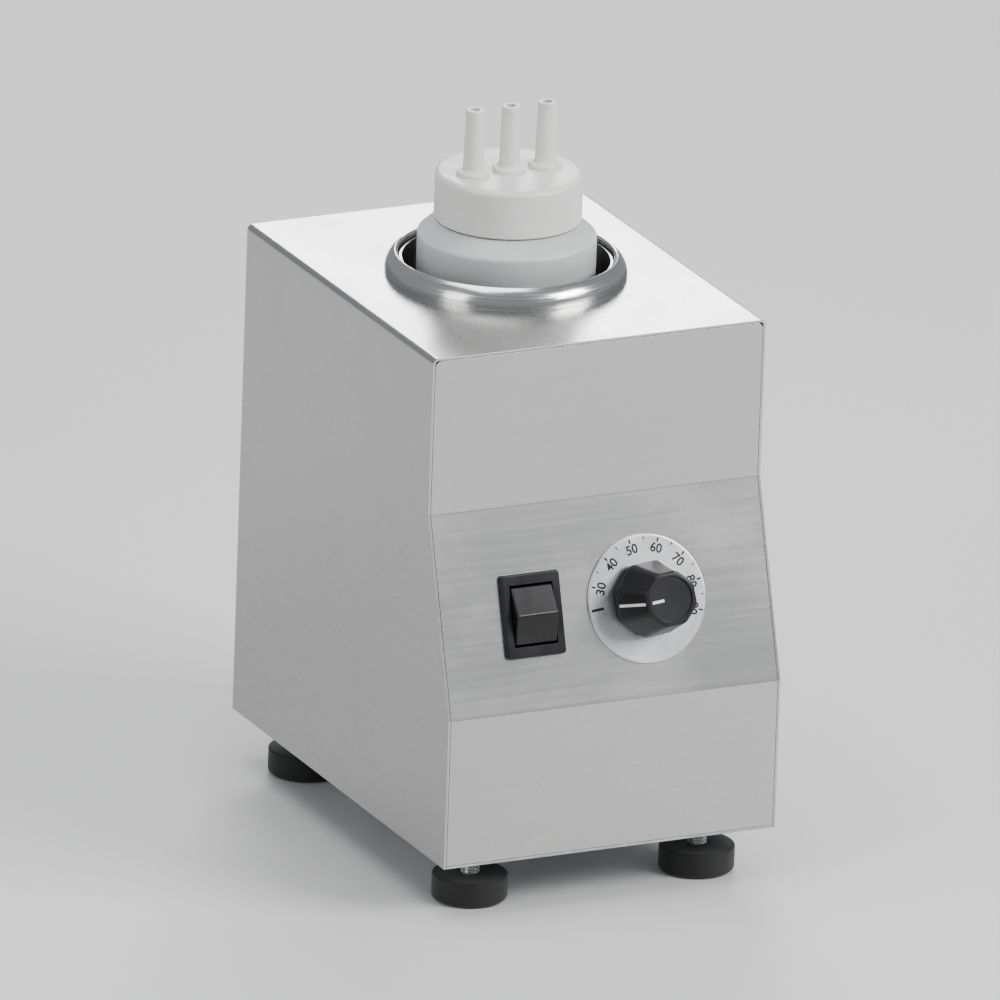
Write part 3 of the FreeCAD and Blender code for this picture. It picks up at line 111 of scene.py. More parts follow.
# ---- Materials -----------------------------------------------------------------------------------
class Paint:
    """A node material with short calls for the textures that these finishes share. Textures use the
    piece's own coordinates in metres, so they keep their scale and move with the piece."""

    def __init__(self, name, **constants):
        self.material = bpy.data.materials.new(name)
        self.material.use_nodes = True
        self.tree = self.material.node_tree
        self.shader = self.tree.nodes["Principled BSDF"]
        self.place = self.add("ShaderNodeTexCoord").outputs["Object"]
        for socket, value in constants.items():
            self.shader.inputs[socket.replace("_", " ")].default_value = value

    def add(self, kind, **settings):
        node = self.tree.nodes.new(kind)
        for key, value in settings.items():
            setattr(node, key, value)
        return node

    def link(self, source, target):
        self.tree.links.new(source, target)
        return target

    def feed(self, socket, value):
        """Sets a socket to a value, or links it to another socket."""
        if isinstance(value, bpy.types.NodeSocket):
            self.link(value, socket)
        else:
            socket.default_value = value

    def stretched(self, scale, place=None):
        """The place with each axis multiplied by its own scale, for grain that runs one way."""
        node = self.add("ShaderNodeVectorMath", operation="MULTIPLY")
        self.link(place or self.place, node.inputs[0])
        node.inputs[1].default_value = scale
        return node.outputs["Vector"]

    def noise(self, scale, detail=3.0, roughness=0.55, place=None):
        node = self.add("ShaderNodeTexNoise")
        self.link(place or self.place, node.inputs["Vector"])
        node.inputs["Scale"].default_value = scale
        node.inputs["Detail"].default_value = detail
        node.inputs["Roughness"].default_value = roughness
        return node.outputs["Fac"]

    def cells(self, scale):
        node = self.add("ShaderNodeTexVoronoi")
        self.link(self.place, node.inputs["Vector"])
        node.inputs["Scale"].default_value = scale
        return node.outputs["Distance"]

    def calc(self, operation, first, second=0.0):
        node = self.add("ShaderNodeMath", operation=operation)
        self.feed(node.inputs[0], first)
        self.feed(node.inputs[1], second)
        return node.outputs["Value"]

    def span(self, value, low, high, source_low=0.0, source_high=1.0):
        """value brought from one range to another, and clamped to it."""
        node = self.add("ShaderNodeMapRange")
        self.link(value, node.inputs["Value"])
        node.inputs["From Min"].default_value = source_low
        node.inputs["From Max"].default_value = source_high
        node.inputs["To Min"].default_value = low
        node.inputs["To Max"].default_value = high
        return node.outputs["Result"]

    def blend(self, amount, first, second):
        node = self.add("ShaderNodeMix", data_type="RGBA")
        self.feed(node.inputs[0], amount)
        self.feed(node.inputs[6], first)
        self.feed(node.inputs[7], second)
        return node.outputs[2]

    def edge(self, radius):
        """1 along sharp edges and 0 on flats, by how far the rounded normal leaves the true one."""
        # the finishes use this mask to paint a highlight along sharp edges
        rounded = self.add("ShaderNodeBevel", samples=4)
        rounded.inputs["Radius"].default_value = radius
        true = self.add("ShaderNodeNewGeometry").outputs["True Normal"]
        dot = self.add("ShaderNodeVectorMath", operation="DOT_PRODUCT")
        self.link(rounded.outputs["Normal"], dot.inputs[0])
        self.link(true, dot.inputs[1])
        return self.span(dot.outputs["Value"], 1.0, 0.0, 0.75, 0.98)

    def axis_distance(self, point, direction):
        """Each place's distance from the line through point along direction."""
        offset = self.add("ShaderNodeVectorMath", operation="SUBTRACT")
        self.link(self.place, offset.inputs[0])
        offset.inputs[1].default_value = point
        cross = self.add("ShaderNodeVectorMath", operation="CROSS_PRODUCT")
        self.link(offset.outputs["Vector"], cross.inputs[0])
        cross.inputs[1].default_value = direction
        length = self.add("ShaderNodeVectorMath", operation="LENGTH")
        self.link(cross.outputs["Vector"], length.inputs[0])
        return length.outputs["Value"]

    def rings(self, point, direction, scale):
        """Fine lathe marks round an axis."""
        node = self.add("ShaderNodeTexNoise", noise_dimensions="1D")
        self.link(self.axis_distance(point, direction), node.inputs["W"])
        node.inputs["Scale"].default_value = scale
        node.inputs["Detail"].default_value = 2.0
        return node.outputs["Fac"]

    def relief(self, height, strength, distance, under=None):
        """Bump from a height, on top of another normal if one is given."""
        node = self.add("ShaderNodeBump")
        node.inputs["Strength"].default_value = strength
        node.inputs["Distance"].default_value = distance
        self.link(height, node.inputs["Height"])
        if under is not None:
            self.link(under, node.inputs["Normal"])
        return node.outputs["Normal"]

    def soft_edges(self, radius):
        node = self.add("ShaderNodeBevel", samples=4)
        node.inputs["Radius"].default_value = radius
        return node.outputs["Normal"]

    def set(self, **sockets):
        for name, value in sockets.items():
            self.feed(self.shader.inputs[name.replace("_", " ")], value)
        return self


def rgb(red, green, blue):
    return (red, green, blue, 1.0)


def brushed_steel(name, grain, tone=0.56, rough=0.27):
    """Stainless sheet with a linear grain. grain is the stretch of its streaks, small along them."""
    paint = Paint(name, Metallic=1.0)
    streaks = paint.noise(1.0, 1.0, 0.5, paint.stretched(grain))
    bands = paint.noise(1.0, 1.0, 0.5, paint.stretched([v * 0.25 for v in grain]))
    smudge = paint.noise(17.0, 4.0, 0.6)
    edge = paint.edge(0.5 * MM)
    mixed = paint.calc("ADD", paint.calc("MULTIPLY", streaks, 0.8), paint.calc("MULTIPLY", bands, 0.2))
    dark, light = tone * 0.98, tone * 1.02
    flat = paint.blend(paint.span(mixed, 0.0, 1.0, 0.3, 0.7), rgb(dark, dark, dark * 0.99),
                       rgb(light, light * 0.995, light * 0.98))
    # painted highlight: the colour is lightened towards pale steel along sharp edges
    color = paint.blend(paint.calc("MULTIPLY", edge, 0.6), flat, rgb(0.80, 0.80, 0.79))
    roughness = paint.calc("ADD", paint.span(mixed, rough - 0.012, rough + 0.016, 0.3, 0.7),
                           paint.span(smudge, -0.01, 0.05, 0.45, 0.75))
    waviness = paint.noise(7.0, 1.0, 0.4)
    normal = paint.relief(waviness, 0.22, 0.35 * MM, paint.soft_edges(0.35 * MM))
    return paint.set(Base_Color=color, Roughness=roughness, Normal=normal).material


def spun_steel(name, point, direction, tone=0.66, rough=0.20):
    """Turned or deep-drawn stainless with fine marks round its axis."""
    paint = Paint(name, Metallic=1.0)
    marks = paint.rings(point, direction, 2600.0)
    smudge = paint.noise(38.0, 4.0, 0.6)
    edge = paint.edge(0.4 * MM)
    dark, light = tone * 0.9, tone * 1.08
    flat = paint.blend(marks, rgb(dark, dark, tone * 0.89), rgb(light, light, tone * 1.06))
    # painted highlight: the colour is lightened towards pale steel along sharp edges
    color = paint.blend(paint.calc("MULTIPLY", edge, 0.5), flat, rgb(0.82, 0.82, 0.81))
    roughness = paint.calc("ADD", paint.span(marks, rough - 0.05, rough + 0.08, 0.3, 0.7),
                           paint.span(smudge, -0.02, 0.10, 0.45, 0.75))
    normal = paint.relief(marks, 0.06, 0.04 * MM, paint.soft_edges(0.3 * MM))
    return paint.set(Base_Color=color, Roughness=roughness, Normal=normal).material


def drawn_steel(name):
    """The inside of the well: drawn upwards, with faint vertical marks and a little heat tint low down."""
    paint = Paint(name, Metallic=1.0)
    streaks = paint.noise(1.0, 3.0, 0.6, paint.stretched((900.0, 900.0, 14.0)))
    height = paint.add("ShaderNodeSeparateXYZ")
    paint.link(paint.place, height.inputs[0])
    low = paint.span(height.outputs["Z"], 1.0, 0.0, WELL.z - 0.21, WELL.z - 0.08)
    straw = paint.calc("MULTIPLY", low, paint.span(paint.noise(30.0, 3.0), 0.1, 0.55, 0.35, 0.7))
    color = paint.blend(straw, rgb(0.58, 0.58, 0.57), rgb(0.56, 0.45, 0.27))
    roughness = paint.span(streaks, 0.24, 0.34, 0.3, 0.7)
    normal = paint.relief(streaks, 0.06, 0.05 * MM)
    return paint.set(Base_Color=color, Roughness=roughness, Normal=normal).material


def plated(name, light, dark, rough=0.32, grain=900.0):
    """Plated or plain metal small parts, with mottling, and sharp edges lightened as a painted highlight.
    """
    paint = Paint(name, Metallic=1.0)
    mottle = paint.noise(grain, 4.0, 0.6)
    patches = paint.noise(60.0, 3.0, 0.6)
    edge = paint.edge(0.25 * MM)
    flat = paint.blend(paint.span(patches, 0.0, 1.0, 0.35, 0.65), rgb(*dark), rgb(*light))
    # painted highlight: a brighter colour laid along sharp edges
    painted_edge_highlight = rgb(*[min(1.0, v * 1.18) for v in light])
    color = paint.blend(paint.calc("MULTIPLY", edge, 0.6), flat, painted_edge_highlight)
    roughness = paint.span(mottle, rough - 0.07, rough + 0.10, 0.3, 0.7)
    normal = paint.relief(mottle, 0.15, 0.04 * MM, paint.soft_edges(0.2 * MM))
    return paint.set(Base_Color=color, Roughness=roughness, Normal=normal).material


def moulded(name, base, rough, grain_size, grain_depth, edge_highlight_color=(0.10, 0.10, 0.10), coat=0.0, sheen=0.0):
    """Moulded plastic, rubber or ceramic: fine grain (sizes in mm), slightly uneven gloss, and sharp
    edges lightened by a painted highlight colour."""
    paint = Paint(name, Coat_Weight=coat, Coat_Roughness=0.12, Sheen_Weight=sheen)
    grain = paint.cells(1.0 / (grain_size * MM))
    fine = paint.noise(3.0 / (grain_size * MM), 3.0, 0.6)
    cloud = paint.noise(45.0, 4.0, 0.6)
    edge = paint.edge(0.45 * MM)
    light = rgb(*[min(1.0, v * 1.35 + 0.006) for v in base])
    flat = paint.blend(paint.span(cloud, 0.0, 1.0, 0.35, 0.7), rgb(*base), light)
    # painted highlight: the colour is lightened along sharp edges
    color = paint.blend(paint.calc("MULTIPLY", edge, 0.35), flat, rgb(*edge_highlight_color))
    roughness = paint.calc("ADD", paint.span(fine, rough - 0.05, rough + 0.06, 0.3, 0.7),
                           paint.span(cloud, -0.03, 0.07, 0.35, 0.7))
    height = paint.calc("ADD", grain, paint.calc("MULTIPLY", fine, 0.5))
    normal = paint.relief(height, 0.35, grain_depth * MM, paint.soft_edges(0.25 * MM))
    return paint.set(Base_Color=color, Roughness=roughness, Normal=normal).material


def milky_plastic(name):
    """Natural low-density polyethylene: waxy, and lets a little light through."""
    paint = Paint(name, Transmission_Weight=0.10, Subsurface_Weight=0.65, Subsurface_Scale=0.010, IOR=1.51,
                  Subsurface_Radius=(1.0, 0.94, 0.84))
    cloud = paint.noise(28.0, 3.0, 0.6)
    streak = paint.noise(1.0, 2.0, 0.5, paint.stretched((160.0, 160.0, 22.0)))
    edge = paint.edge(0.5 * MM)
    clouding = paint.span(cloud, 0.0, 1.0, 0.35, 0.7)
    flat = paint.blend(clouding, rgb(0.86, 0.855, 0.815), rgb(0.92, 0.915, 0.88))
    # painted highlight: the colour is lightened towards white along sharp edges
    color = paint.blend(paint.calc("MULTIPLY", edge, 0.5), flat, rgb(0.95, 0.95, 0.93))
    roughness = paint.span(streak, 0.28, 0.42, 0.3, 0.7)
    normal = paint.relief(streak, 0.25, 0.10 * MM)
    normal = paint.relief(paint.noise(2200.0, 2.0), 0.10, 0.02 * MM, normal)
    return paint.set(Base_Color=color, Roughness=roughness, Normal=normal).material


def white_plastic(name):
    """Opaque white polyethylene of the cap and nozzles, slightly warm, with fine grain and soft sheen."""
    paint = Paint(name, Subsurface_Weight=0.18, Subsurface_Scale=0.004, IOR=1.5)
    cloud = paint.noise(60.0, 4.0, 0.6)
    grain = paint.noise(2600.0, 3.0, 0.6)
    edge = paint.edge(0.4 * MM)
    clouding = paint.span(cloud, 0.0, 1.0, 0.35, 0.7)
    flat = paint.blend(clouding, rgb(0.77, 0.765, 0.735), rgb(0.83, 0.825, 0.80))
    # painted highlight: the colour is lightened along sharp edges
    color = paint.blend(paint.calc("MULTIPLY", edge, 0.4), flat, rgb(0.88, 0.88, 0.86))
    roughness = paint.span(grain, 0.30, 0.46, 0.3, 0.7)
    normal = paint.relief(grain, 0.20, 0.03 * MM, paint.soft_edges(0.25 * MM))
    return paint.set(Base_Color=color, Roughness=roughness, Normal=normal).material


def mineral_wool(name):
    """Pale felted insulation."""
    paint = Paint(name, Sheen_Weight=0.3)
    fibres = paint.noise(1.0, 5.0, 0.7, paint.stretched((500.0, 500.0, 120.0)))
    clumps = paint.noise(140.0, 4.0, 0.65)
    matting = paint.span(fibres, 0.0, 1.0, 0.3, 0.7)
    color = paint.blend(matting, rgb(0.62, 0.58, 0.47), rgb(0.86, 0.83, 0.74))
    normal = paint.relief(paint.calc("ADD", fibres, clumps), 0.9, 0.6 * MM)
    return paint.set(Base_Color=color, Roughness=0.95, Normal=normal).material


def sleeving(name, base, stripe=None):
    """The insulation of a lead, with a spiral stripe if it has a second colour."""
    paint = Paint(name)
    grain = paint.noise(1800.0, 3.0)
    color = rgb(*base)
    if stripe:
        wave = paint.add("ShaderNodeTexWave")
        paint.link(paint.place, wave.inputs["Vector"])
        wave.inputs["Scale"].default_value = 90.0
        color = paint.blend(paint.span(wave.outputs["Fac"], 0.0, 1.0, 0.45, 0.55), rgb(*base), rgb(*stripe))
    shade = paint.blend(paint.span(grain, 0.0, 0.35, 0.3, 0.7), color, rgb(*[v * 0.5 for v in base]))
    return paint.set(Base_Color=shade, Roughness=paint.span(grain, 0.38, 0.55),
                     Normal=paint.relief(grain, 0.3, 0.04 * MM)).material


def anodised_dial(name):
    """Satin aluminium with turned rings round the shaft."""
    paint = Paint(name, Metallic=1.0)
    marks = paint.rings(DIAL, PANEL_OUT, 3200.0)
    cloud = paint.noise(90.0, 3.0)
    color = paint.blend(marks, rgb(0.66, 0.66, 0.67), rgb(0.80, 0.80, 0.81))
    roughness = paint.calc("ADD", paint.span(marks, 0.26, 0.38, 0.3, 0.7),
                           paint.span(cloud, -0.02, 0.05, 0.4, 0.7))
    normal = paint.relief(marks, 0.18, 0.03 * MM, paint.soft_edges(0.3 * MM))
    return paint.set(Base_Color=color, Roughness=roughness, Normal=normal).material


def printed_ink(name, base):
    """Screen-printed ink: almost flat, with a slightly uneven gloss."""
    paint = Paint(name)
    speck = paint.noise(3500.0, 3.0)
    lift = rgb(*[min(1.0, v * 1.5 + 0.01) for v in base])
    color = paint.blend(paint.span(speck, 0.0, 0.6, 0.35, 0.75), rgb(*base), lift)
    return paint.set(Base_Color=color, Roughness=paint.span(speck, 0.38, 0.55),
                     Normal=paint.relief(speck, 0.2, 0.01 * MM)).material


# How far the brushing noise is stretched, per metre on X, Y and Z: long along one of them.
ALONG_X = (14.0, 620.0, 620.0)
ALONG_Y = (620.0, 14.0, 620.0)

FINISHES = {
    "cover_steel": brushed_steel("cover_steel", ALONG_Y),
    "front_steel": brushed_steel("front_steel", ALONG_X),
    "collar_steel": spun_steel("collar_steel", WELL, (0, 0, 1)),
    "well_steel": drawn_steel("well_steel"),
    "galvanised": plated("galvanised", (0.62, 0.63, 0.64), (0.46, 0.47, 0.49), 0.40, 300.0),
    "zinc": plated("zinc", (0.74, 0.74, 0.72), (0.60, 0.60, 0.58), 0.26),
    "heater_skin": plated("heater_skin", (0.50, 0.48, 0.44), (0.38, 0.33, 0.27), 0.45),
    "copper": plated("copper", (0.80, 0.42, 0.28), (0.58, 0.27, 0.17), 0.30),
    "brass": plated("brass", (0.80, 0.62, 0.30), (0.62, 0.46, 0.20), 0.30),
    "silicone": moulded("silicone", (0.52, 0.50, 0.46), 0.55, 0.5, 0.02, (0.62, 0.60, 0.56)),
    "insulation": mineral_wool("insulation"),
    "phenolic": moulded("phenolic", (0.035, 0.022, 0.015), 0.40, 0.3, 0.02),
    "dial_silver": anodised_dial("dial_silver"),
    "knob_black": moulded("knob_black", (0.012, 0.012, 0.013), 0.34, 0.30, 0.012,
                          edge_highlight_color=(0.07, 0.07, 0.07), coat=0.15),
    "switch_black": moulded("switch_black", (0.014, 0.014, 0.015), 0.30, 0.25, 0.012,
                            edge_highlight_color=(0.08, 0.08, 0.08), coat=0.10),
    "rubber": moulded("rubber", (0.020, 0.020, 0.020), 0.68, 0.5, 0.05,
                      edge_highlight_color=(0.09, 0.09, 0.085), sheen=0.25),
    "ceramic": moulded("ceramic", (0.74, 0.71, 0.64), 0.25, 0.6, 0.01,
                       edge_highlight_color=(0.80, 0.78, 0.72), coat=0.3),
    "lead_brown": sleeving("lead_brown", (0.16, 0.06, 0.025)),
    "lead_blue": sleeving("lead_blue", (0.03, 0.10, 0.42)),
    "lead_green": sleeving("lead_green", (0.05, 0.30, 0.05), (0.85, 0.75, 0.05)),
    "bottle_plastic": milky_plastic("bottle_plastic"),
    "cap_plastic": white_plastic("cap_plastic"),
    "dial_ink": printed_ink("dial_ink", (0.015, 0.015, 0.017)),
    "white_ink": printed_ink("white_ink", (0.80, 0.80, 0.78)),
}

# Slots whose finish has another name, and nodes whose finish isn't that of their slot.
SLOT_FINISH = {"stainless": "cover_steel", "stainless_polished": "collar_steel"}
NODE_FINISH = {"front_panel": "front_steel", "back_panel": "front_steel", "well_cup": "well_steel"}


def finish_nodes():
    """Every carried-over node gets the finish of its slot, or its own."""
    slot_of = {part["node"]: part["material_slot"] for part in frame["record"]["subparts"]}
    for name, obj in nodes.items():
        slot = slot_of[name]
        finish = NODE_FINISH.get(name) or SLOT_FINISH.get(slot, slot)
        obj.data.materials.clear()
        obj.data.materials.append(FINISHES[finish])


finish_nodes()


# ---- Mesh helpers --------------------------------------------------------------------------------
def piece(name, mesh, finish, body):
    """A new piece of the object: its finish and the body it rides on."""
    mesh.materials.clear()
    mesh.materials.append(FINISHES[finish])
    obj = bpy.data.objects.new(name, mesh)
    bpy.context.scene.collection.objects.link(obj)
    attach(obj, body)
    return obj


def mesh_from(bm, name, smooth_angle=None):
    bmesh.ops.recalc_face_normals(bm, faces=bm.faces)
    mesh = bpy.data.meshes.new(name)
    bm.to_mesh(mesh)
    bm.free()
    if smooth_angle is not None:
        for polygon in mesh.polygons:
            polygon.use_smooth = True
        mesh.set_sharp_from_angle(angle=math.radians(smooth_angle))
    return mesh


def bridge(bm, lower, upper):
    """A band of quads between two closed rings of vertices."""
    for k in range(len(lower)):
        after = (k + 1) % len(lower)
        bm.faces.new((lower[k], lower[after], upper[after], upper[k]))


def text_mesh(words, height, depth, boldness):
    """Flat lettering, centred, as a thin closed mesh."""
    curve = bpy.data.curves.new("lettering", "FONT")
    curve.body = words
    curve.size = height
    curve.extrude = depth
    curve.offset = boldness
    curve.align_x = "CENTER"
    curve.align_y = "CENTER"
    holder = bpy.data.objects.new("lettering", curve)
    bpy.context.scene.collection.objects.link(holder)
    bpy.context.view_layer.update()
    mesh = bpy.data.meshes.new_from_object(holder)
    bpy.data.objects.remove(holder)
    bpy.data.curves.remove(curve)
    return mesh


# ---- Dial markings -------------------------------------------------------------------------------
FIRST_NUMBER_ANGLE = 163.0   # seen from in front of the panel, counted from the right
NUMBER_STEP = 30.0
NUMBERS = ("30", "40", "50", "60", "70", "80", "90")
OFF_ANGLE = 185.5
NUMBER_HEIGHT = 5.4 * MM
NUMBER_INSET = 5.6 * MM      # from the rim of the dial to the middle of a number
NUMBER_BOLDNESS = 0.10 * MM
MARK_INSET = 1.1 * MM        # from the rim to the outer end of a tick
INK = 0.03 * MM


def dial_markings():
    """Numbers, ticks and the off mark, printed round the dial plate."""
    bm = bmesh.new()

    def bar(angle, inner, outer, width):
        turn = Matrix.Rotation(math.radians(angle), 4, "Z")
        made = bmesh.ops.create_cube(bm, size=1.0)["verts"]
        stretch = Matrix.Diagonal((outer - inner, width, 2 * INK, 1.0))
        shift = Matrix.Translation(((inner + outer) / 2, 0, 0))
        bmesh.ops.transform(bm, verts=made, matrix=turn @ shift @ stretch)

    def lettering(words, angle, radius):
        mesh = text_mesh(words, NUMBER_HEIGHT, INK, NUMBER_BOLDNESS)
        turn = Matrix.Rotation(math.radians(angle), 4, "Z") @ Matrix.Translation((radius, 0, 0))
        mesh.transform(turn @ Matrix.Rotation(math.radians(-90), 4, "Z"))
        bm.from_mesh(mesh)
        bpy.data.meshes.remove(mesh)

    rim = DIAL_RADIUS
    for k, number in enumerate(NUMBERS):
        angle = FIRST_NUMBER_ANGLE - NUMBER_STEP * k
        bar(angle, rim - 2.9 * MM, rim - MARK_INSET, 0.7 * MM)
        if k:
            bar(angle + NUMBER_STEP / 2, rim - 2.4 * MM, rim - MARK_INSET, 0.45 * MM)
        lettering(number, angle, rim - NUMBER_INSET)
    bar(OFF_ANGLE, rim - 6.6 * MM, rim - MARK_INSET, 1.1 * MM)
    bmesh.ops.transform(bm, verts=bm.verts, matrix=Matrix.Translation((0, 0, DIAL_FACE + 0.5 * INK)))
    bmesh.ops.transform(bm, verts=bm.verts, matrix=panel_matrix(DIAL))
    return piece("dial_markings", mesh_from(bm, "dial_markings"), "dial_ink", "housing")


dial_markings()


# ---- Knob ----------------------------------------------------------------------------------------
KNOB_CORNER = 28.0           # angle of the first of its eight corners
KNOB_TOP = reach("knob", DIAL, PANEL_OUT)
KNOB_LOW = DIAL_FACE + 0.6 * MM
KNOB_SKIRT = 5.0 * MM        # height of its widest part above the panel
KNOB_BASE_RADIUS = 16.6 * MM
KNOB_TIP_RADIUS = 11.8 * MM
KNOB_FACE_RADIUS = 11.4 * MM  # of its round face, with the rim
KNOB_BLUNT = 0.35 * MM       # how far its corners are rounded off
KNOB_TOP_ROUND = 0.8 * MM
KNOB_FACE_DEPTH = 0.7 * MM   # how far its round face is sunk
KNOB_HOLLOW_RADIUS = 9.4 * MM
KNOB_HOLLOW_DEPTH = 5.4 * MM
KNOB_SIDE_STEPS = 12
HALF_FACET = math.radians(22.5)


def corner_radius(height):
    """Distance from the axis to the sharp corner that two facets would make."""
    if height < KNOB_SKIRT:
        return KNOB_BASE_RADIUS - 1.0 * MM * (KNOB_SKIRT - height) / (KNOB_SKIRT - KNOB_LOW)
    share = (height - KNOB_SKIRT) / (KNOB_TOP - KNOB_SKIRT)
    return KNOB_BASE_RADIUS + (KNOB_TIP_RADIUS - KNOB_BASE_RADIUS) * share


def facet_radius(height):
    """Distance from the axis to the middle of a facet."""
    return corner_radius(height) * math.cos(HALF_FACET)


def knob():
    """Tapered eight-sided grip with rounded corners and a sunk round face."""
    bm = bmesh.new()
    turns = [math.radians(KNOB_CORNER + 360.0 * k / ROUND_STEPS) for k in range(ROUND_STEPS)]

    def side_ring(height, shrink=0.0):
        corners = []
        for k, turn in enumerate(turns):
            off = math.radians(360.0 * k / ROUND_STEPS) % (2 * HALF_FACET) - HALF_FACET
            flat, blunt = facet_radius(height) / math.cos(off), corner_radius(height) - KNOB_BLUNT
            radius = min(flat, blunt) - shrink
            corners.append(bm.verts.new((radius * math.cos(turn), radius * math.sin(turn), height)))
        return corners

    def round_ring(radius, height):
        return [bm.verts.new((radius * math.cos(t), radius * math.sin(t), height)) for t in turns]

    rings = [round_ring(KNOB_HOLLOW_RADIUS, KNOB_LOW + KNOB_HOLLOW_DEPTH),
             round_ring(KNOB_HOLLOW_RADIUS, KNOB_LOW),
             side_ring(KNOB_LOW, 0.3 * MM),
             side_ring(KNOB_LOW + 0.3 * MM),
             side_ring(KNOB_SKIRT - 0.35 * MM, 0.03 * MM),
             side_ring(KNOB_SKIRT, 0.08 * MM),
             side_ring(KNOB_SKIRT + 0.5 * MM, 0.03 * MM)]
    low, high = KNOB_SKIRT + 1.2 * MM, KNOB_TOP - KNOB_TOP_ROUND
    rings += [side_ring(low + (high - low) * k / KNOB_SIDE_STEPS) for k in range(KNOB_SIDE_STEPS + 1)]
    for turn in (math.pi / 8, math.pi / 4, 3 * math.pi / 8):
        drop, shrink = 1 - math.sin(turn), 1 - math.cos(turn)
        rings.append(side_ring(KNOB_TOP - KNOB_TOP_ROUND * drop, KNOB_TOP_ROUND * shrink))
    rings += [side_ring(KNOB_TOP, KNOB_TOP_ROUND),
              round_ring(KNOB_FACE_RADIUS - 1.9 * MM, KNOB_TOP),
              round_ring(KNOB_FACE_RADIUS - 2.1 * MM, KNOB_TOP - 0.15 * MM),
              round_ring(KNOB_FACE_RADIUS - 2.2 * MM, KNOB_TOP - KNOB_FACE_DEPTH)]
    for lower, upper in zip(rings, rings[1:]):
        bridge(bm, lower, upper)
    bm.faces.new(rings[-1])
    bm.faces.new(rings[0][::-1])
    bmesh.ops.transform(bm, verts=bm.verts, matrix=panel_matrix(DIAL))
    made = piece("control_knob", mesh_from(bm, "control_knob", 28), "knob_black", "knob")
    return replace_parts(made, "knob")


def knob_pointer():
    """The white line on the knob's face, and down its side to point at the dial's numbers."""
    bm = bmesh.new()
    half, thick = 0.6 * MM, 0.09 * MM

    def strip(start, end, normal):
        corners = []
        for lift in (-thick, thick):
            for radius, height in (start, end):
                radius, height = radius + normal[0] * lift, height + normal[1] * lift
                corners += [bm.verts.new((radius, side, height)) for side in (-half, half)]
        for quad in ((0, 1, 3, 2), (4, 6, 7, 5), (0, 4, 5, 1), (2, 3, 7, 6), (0, 2, 6, 4), (1, 5, 7, 3)):
            bm.faces.new([corners[i] for i in quad])

    face = KNOB_TOP - KNOB_FACE_DEPTH + 0.06 * MM
    strip((3.2 * MM, face), (KNOB_FACE_RADIUS - 2.9 * MM, face), (0, 1))
    low, high = KNOB_SKIRT + 1.2 * MM, KNOB_TOP - 2 * KNOB_TOP_ROUND
    start, end = (facet_radius(low), low), (facet_radius(high), high)
    slant = Vector((high - low, start[0] - end[0])).normalized()
    strip(start, end, slant)
    turn = Matrix.Rotation(math.radians(OFF_ANGLE), 4, "Z")
    bmesh.ops.transform(bm, verts=bm.verts, matrix=panel_matrix(DIAL) @ turn)
    return piece("knob_pointer", mesh_from(bm, "knob_pointer"), "white_ink", "knob")


knob()
knob_pointer()


# ---- Squeeze bottle ------------------------------------------------------------------------------
BOTTLE_WALL = 1.2 * MM
THREAD_PITCH = 6.0 * MM
THREAD_TURNS = 1.6
THREAD_DEPTH = 0.9 * MM
THREAD_STEPS = 72            # sections a turn
THREAD_TAPER = 9             # sections over which each end of it fades
NECK_STEP = 11.2 * MM        # how much smaller the neck's radius is than the body's
LEDGE_DROP = 16.6 * MM       # from the mouth down to the flat foot of the neck
SHOULDER_DROP = 21.4 * MM    # from the mouth down to where the shoulder starts
SHOULDER_ROUND = 2.0 * MM
BASE_ROUND = 5.0 * MM
BASE_PUSH = 3.0 * MM         # how far the middle of the base is pushed up
MOUTH_ROUND = 0.6 * MM
THREAD_START = 13.0 * MM     # from the mouth down to its lower end
SEAM_HEIGHT = 0.12 * MM
SEAM_HALF_ANGLE = 0.03       # radians


def arc(center, radius, start, end, steps):
    """Points along a circular corner of an outline, angles in degrees."""
    turns = [math.radians(start + (end - start) * k / steps) for k in range(steps + 1)]
    return [(center[0] + radius * math.cos(t), center[1] + radius * math.sin(t)) for t in turns]


def bottle_outline(inset, low, high, body):
    """Half-section from near the middle of the base up to the mouth, drawn in by inset."""
    neck = body - NECK_STEP - inset
    side, base = body - inset, low + inset
    shoulder, ledge = high - SHOULDER_DROP - inset, high - LEDGE_DROP - inset
    return ([(12 * MM, base + BASE_PUSH), (21.4 * MM, base + BASE_PUSH),
             (22.6 * MM, base + 0.9 * BASE_PUSH), (27.4 * MM, base + 0.1 * BASE_PUSH), (28.6 * MM, base)]
            + arc((side - BASE_ROUND, base + BASE_ROUND), BASE_ROUND, -90, 0, 8)
            + [(side, base + 60 * MM * k) for k in (1, 2, 3)]
            + arc((side - SHOULDER_ROUND, shoulder - 2.4 * MM), SHOULDER_ROUND, 0, 70, 6)
            + [(body - 6.4 * MM - inset, ledge - 0.5 * MM), (body - 7.0 * MM - inset, ledge),
               (neck + 0.8 * MM, ledge), (neck + 0.2 * MM, ledge + 0.2 * MM), (neck, ledge + 0.8 * MM)])


def seam(turn, height, low):
    """How far the mould's parting line stands out of the bottle's two sides."""
    if height <= low + 2 * BASE_PUSH:
        return 0.0
    off = min(abs(math.remainder(turn - side, math.tau)) for side in (0.0, math.pi))
    return SEAM_HEIGHT * max(0.0, 1.0 - off / SEAM_HALF_ANGLE)


def well_point(radius, turn, height):
    """A place given by its distance from the well's axis, its angle round it and its height."""
    return (WELL.x + radius * math.cos(turn), WELL.y + radius * math.sin(turn), height)


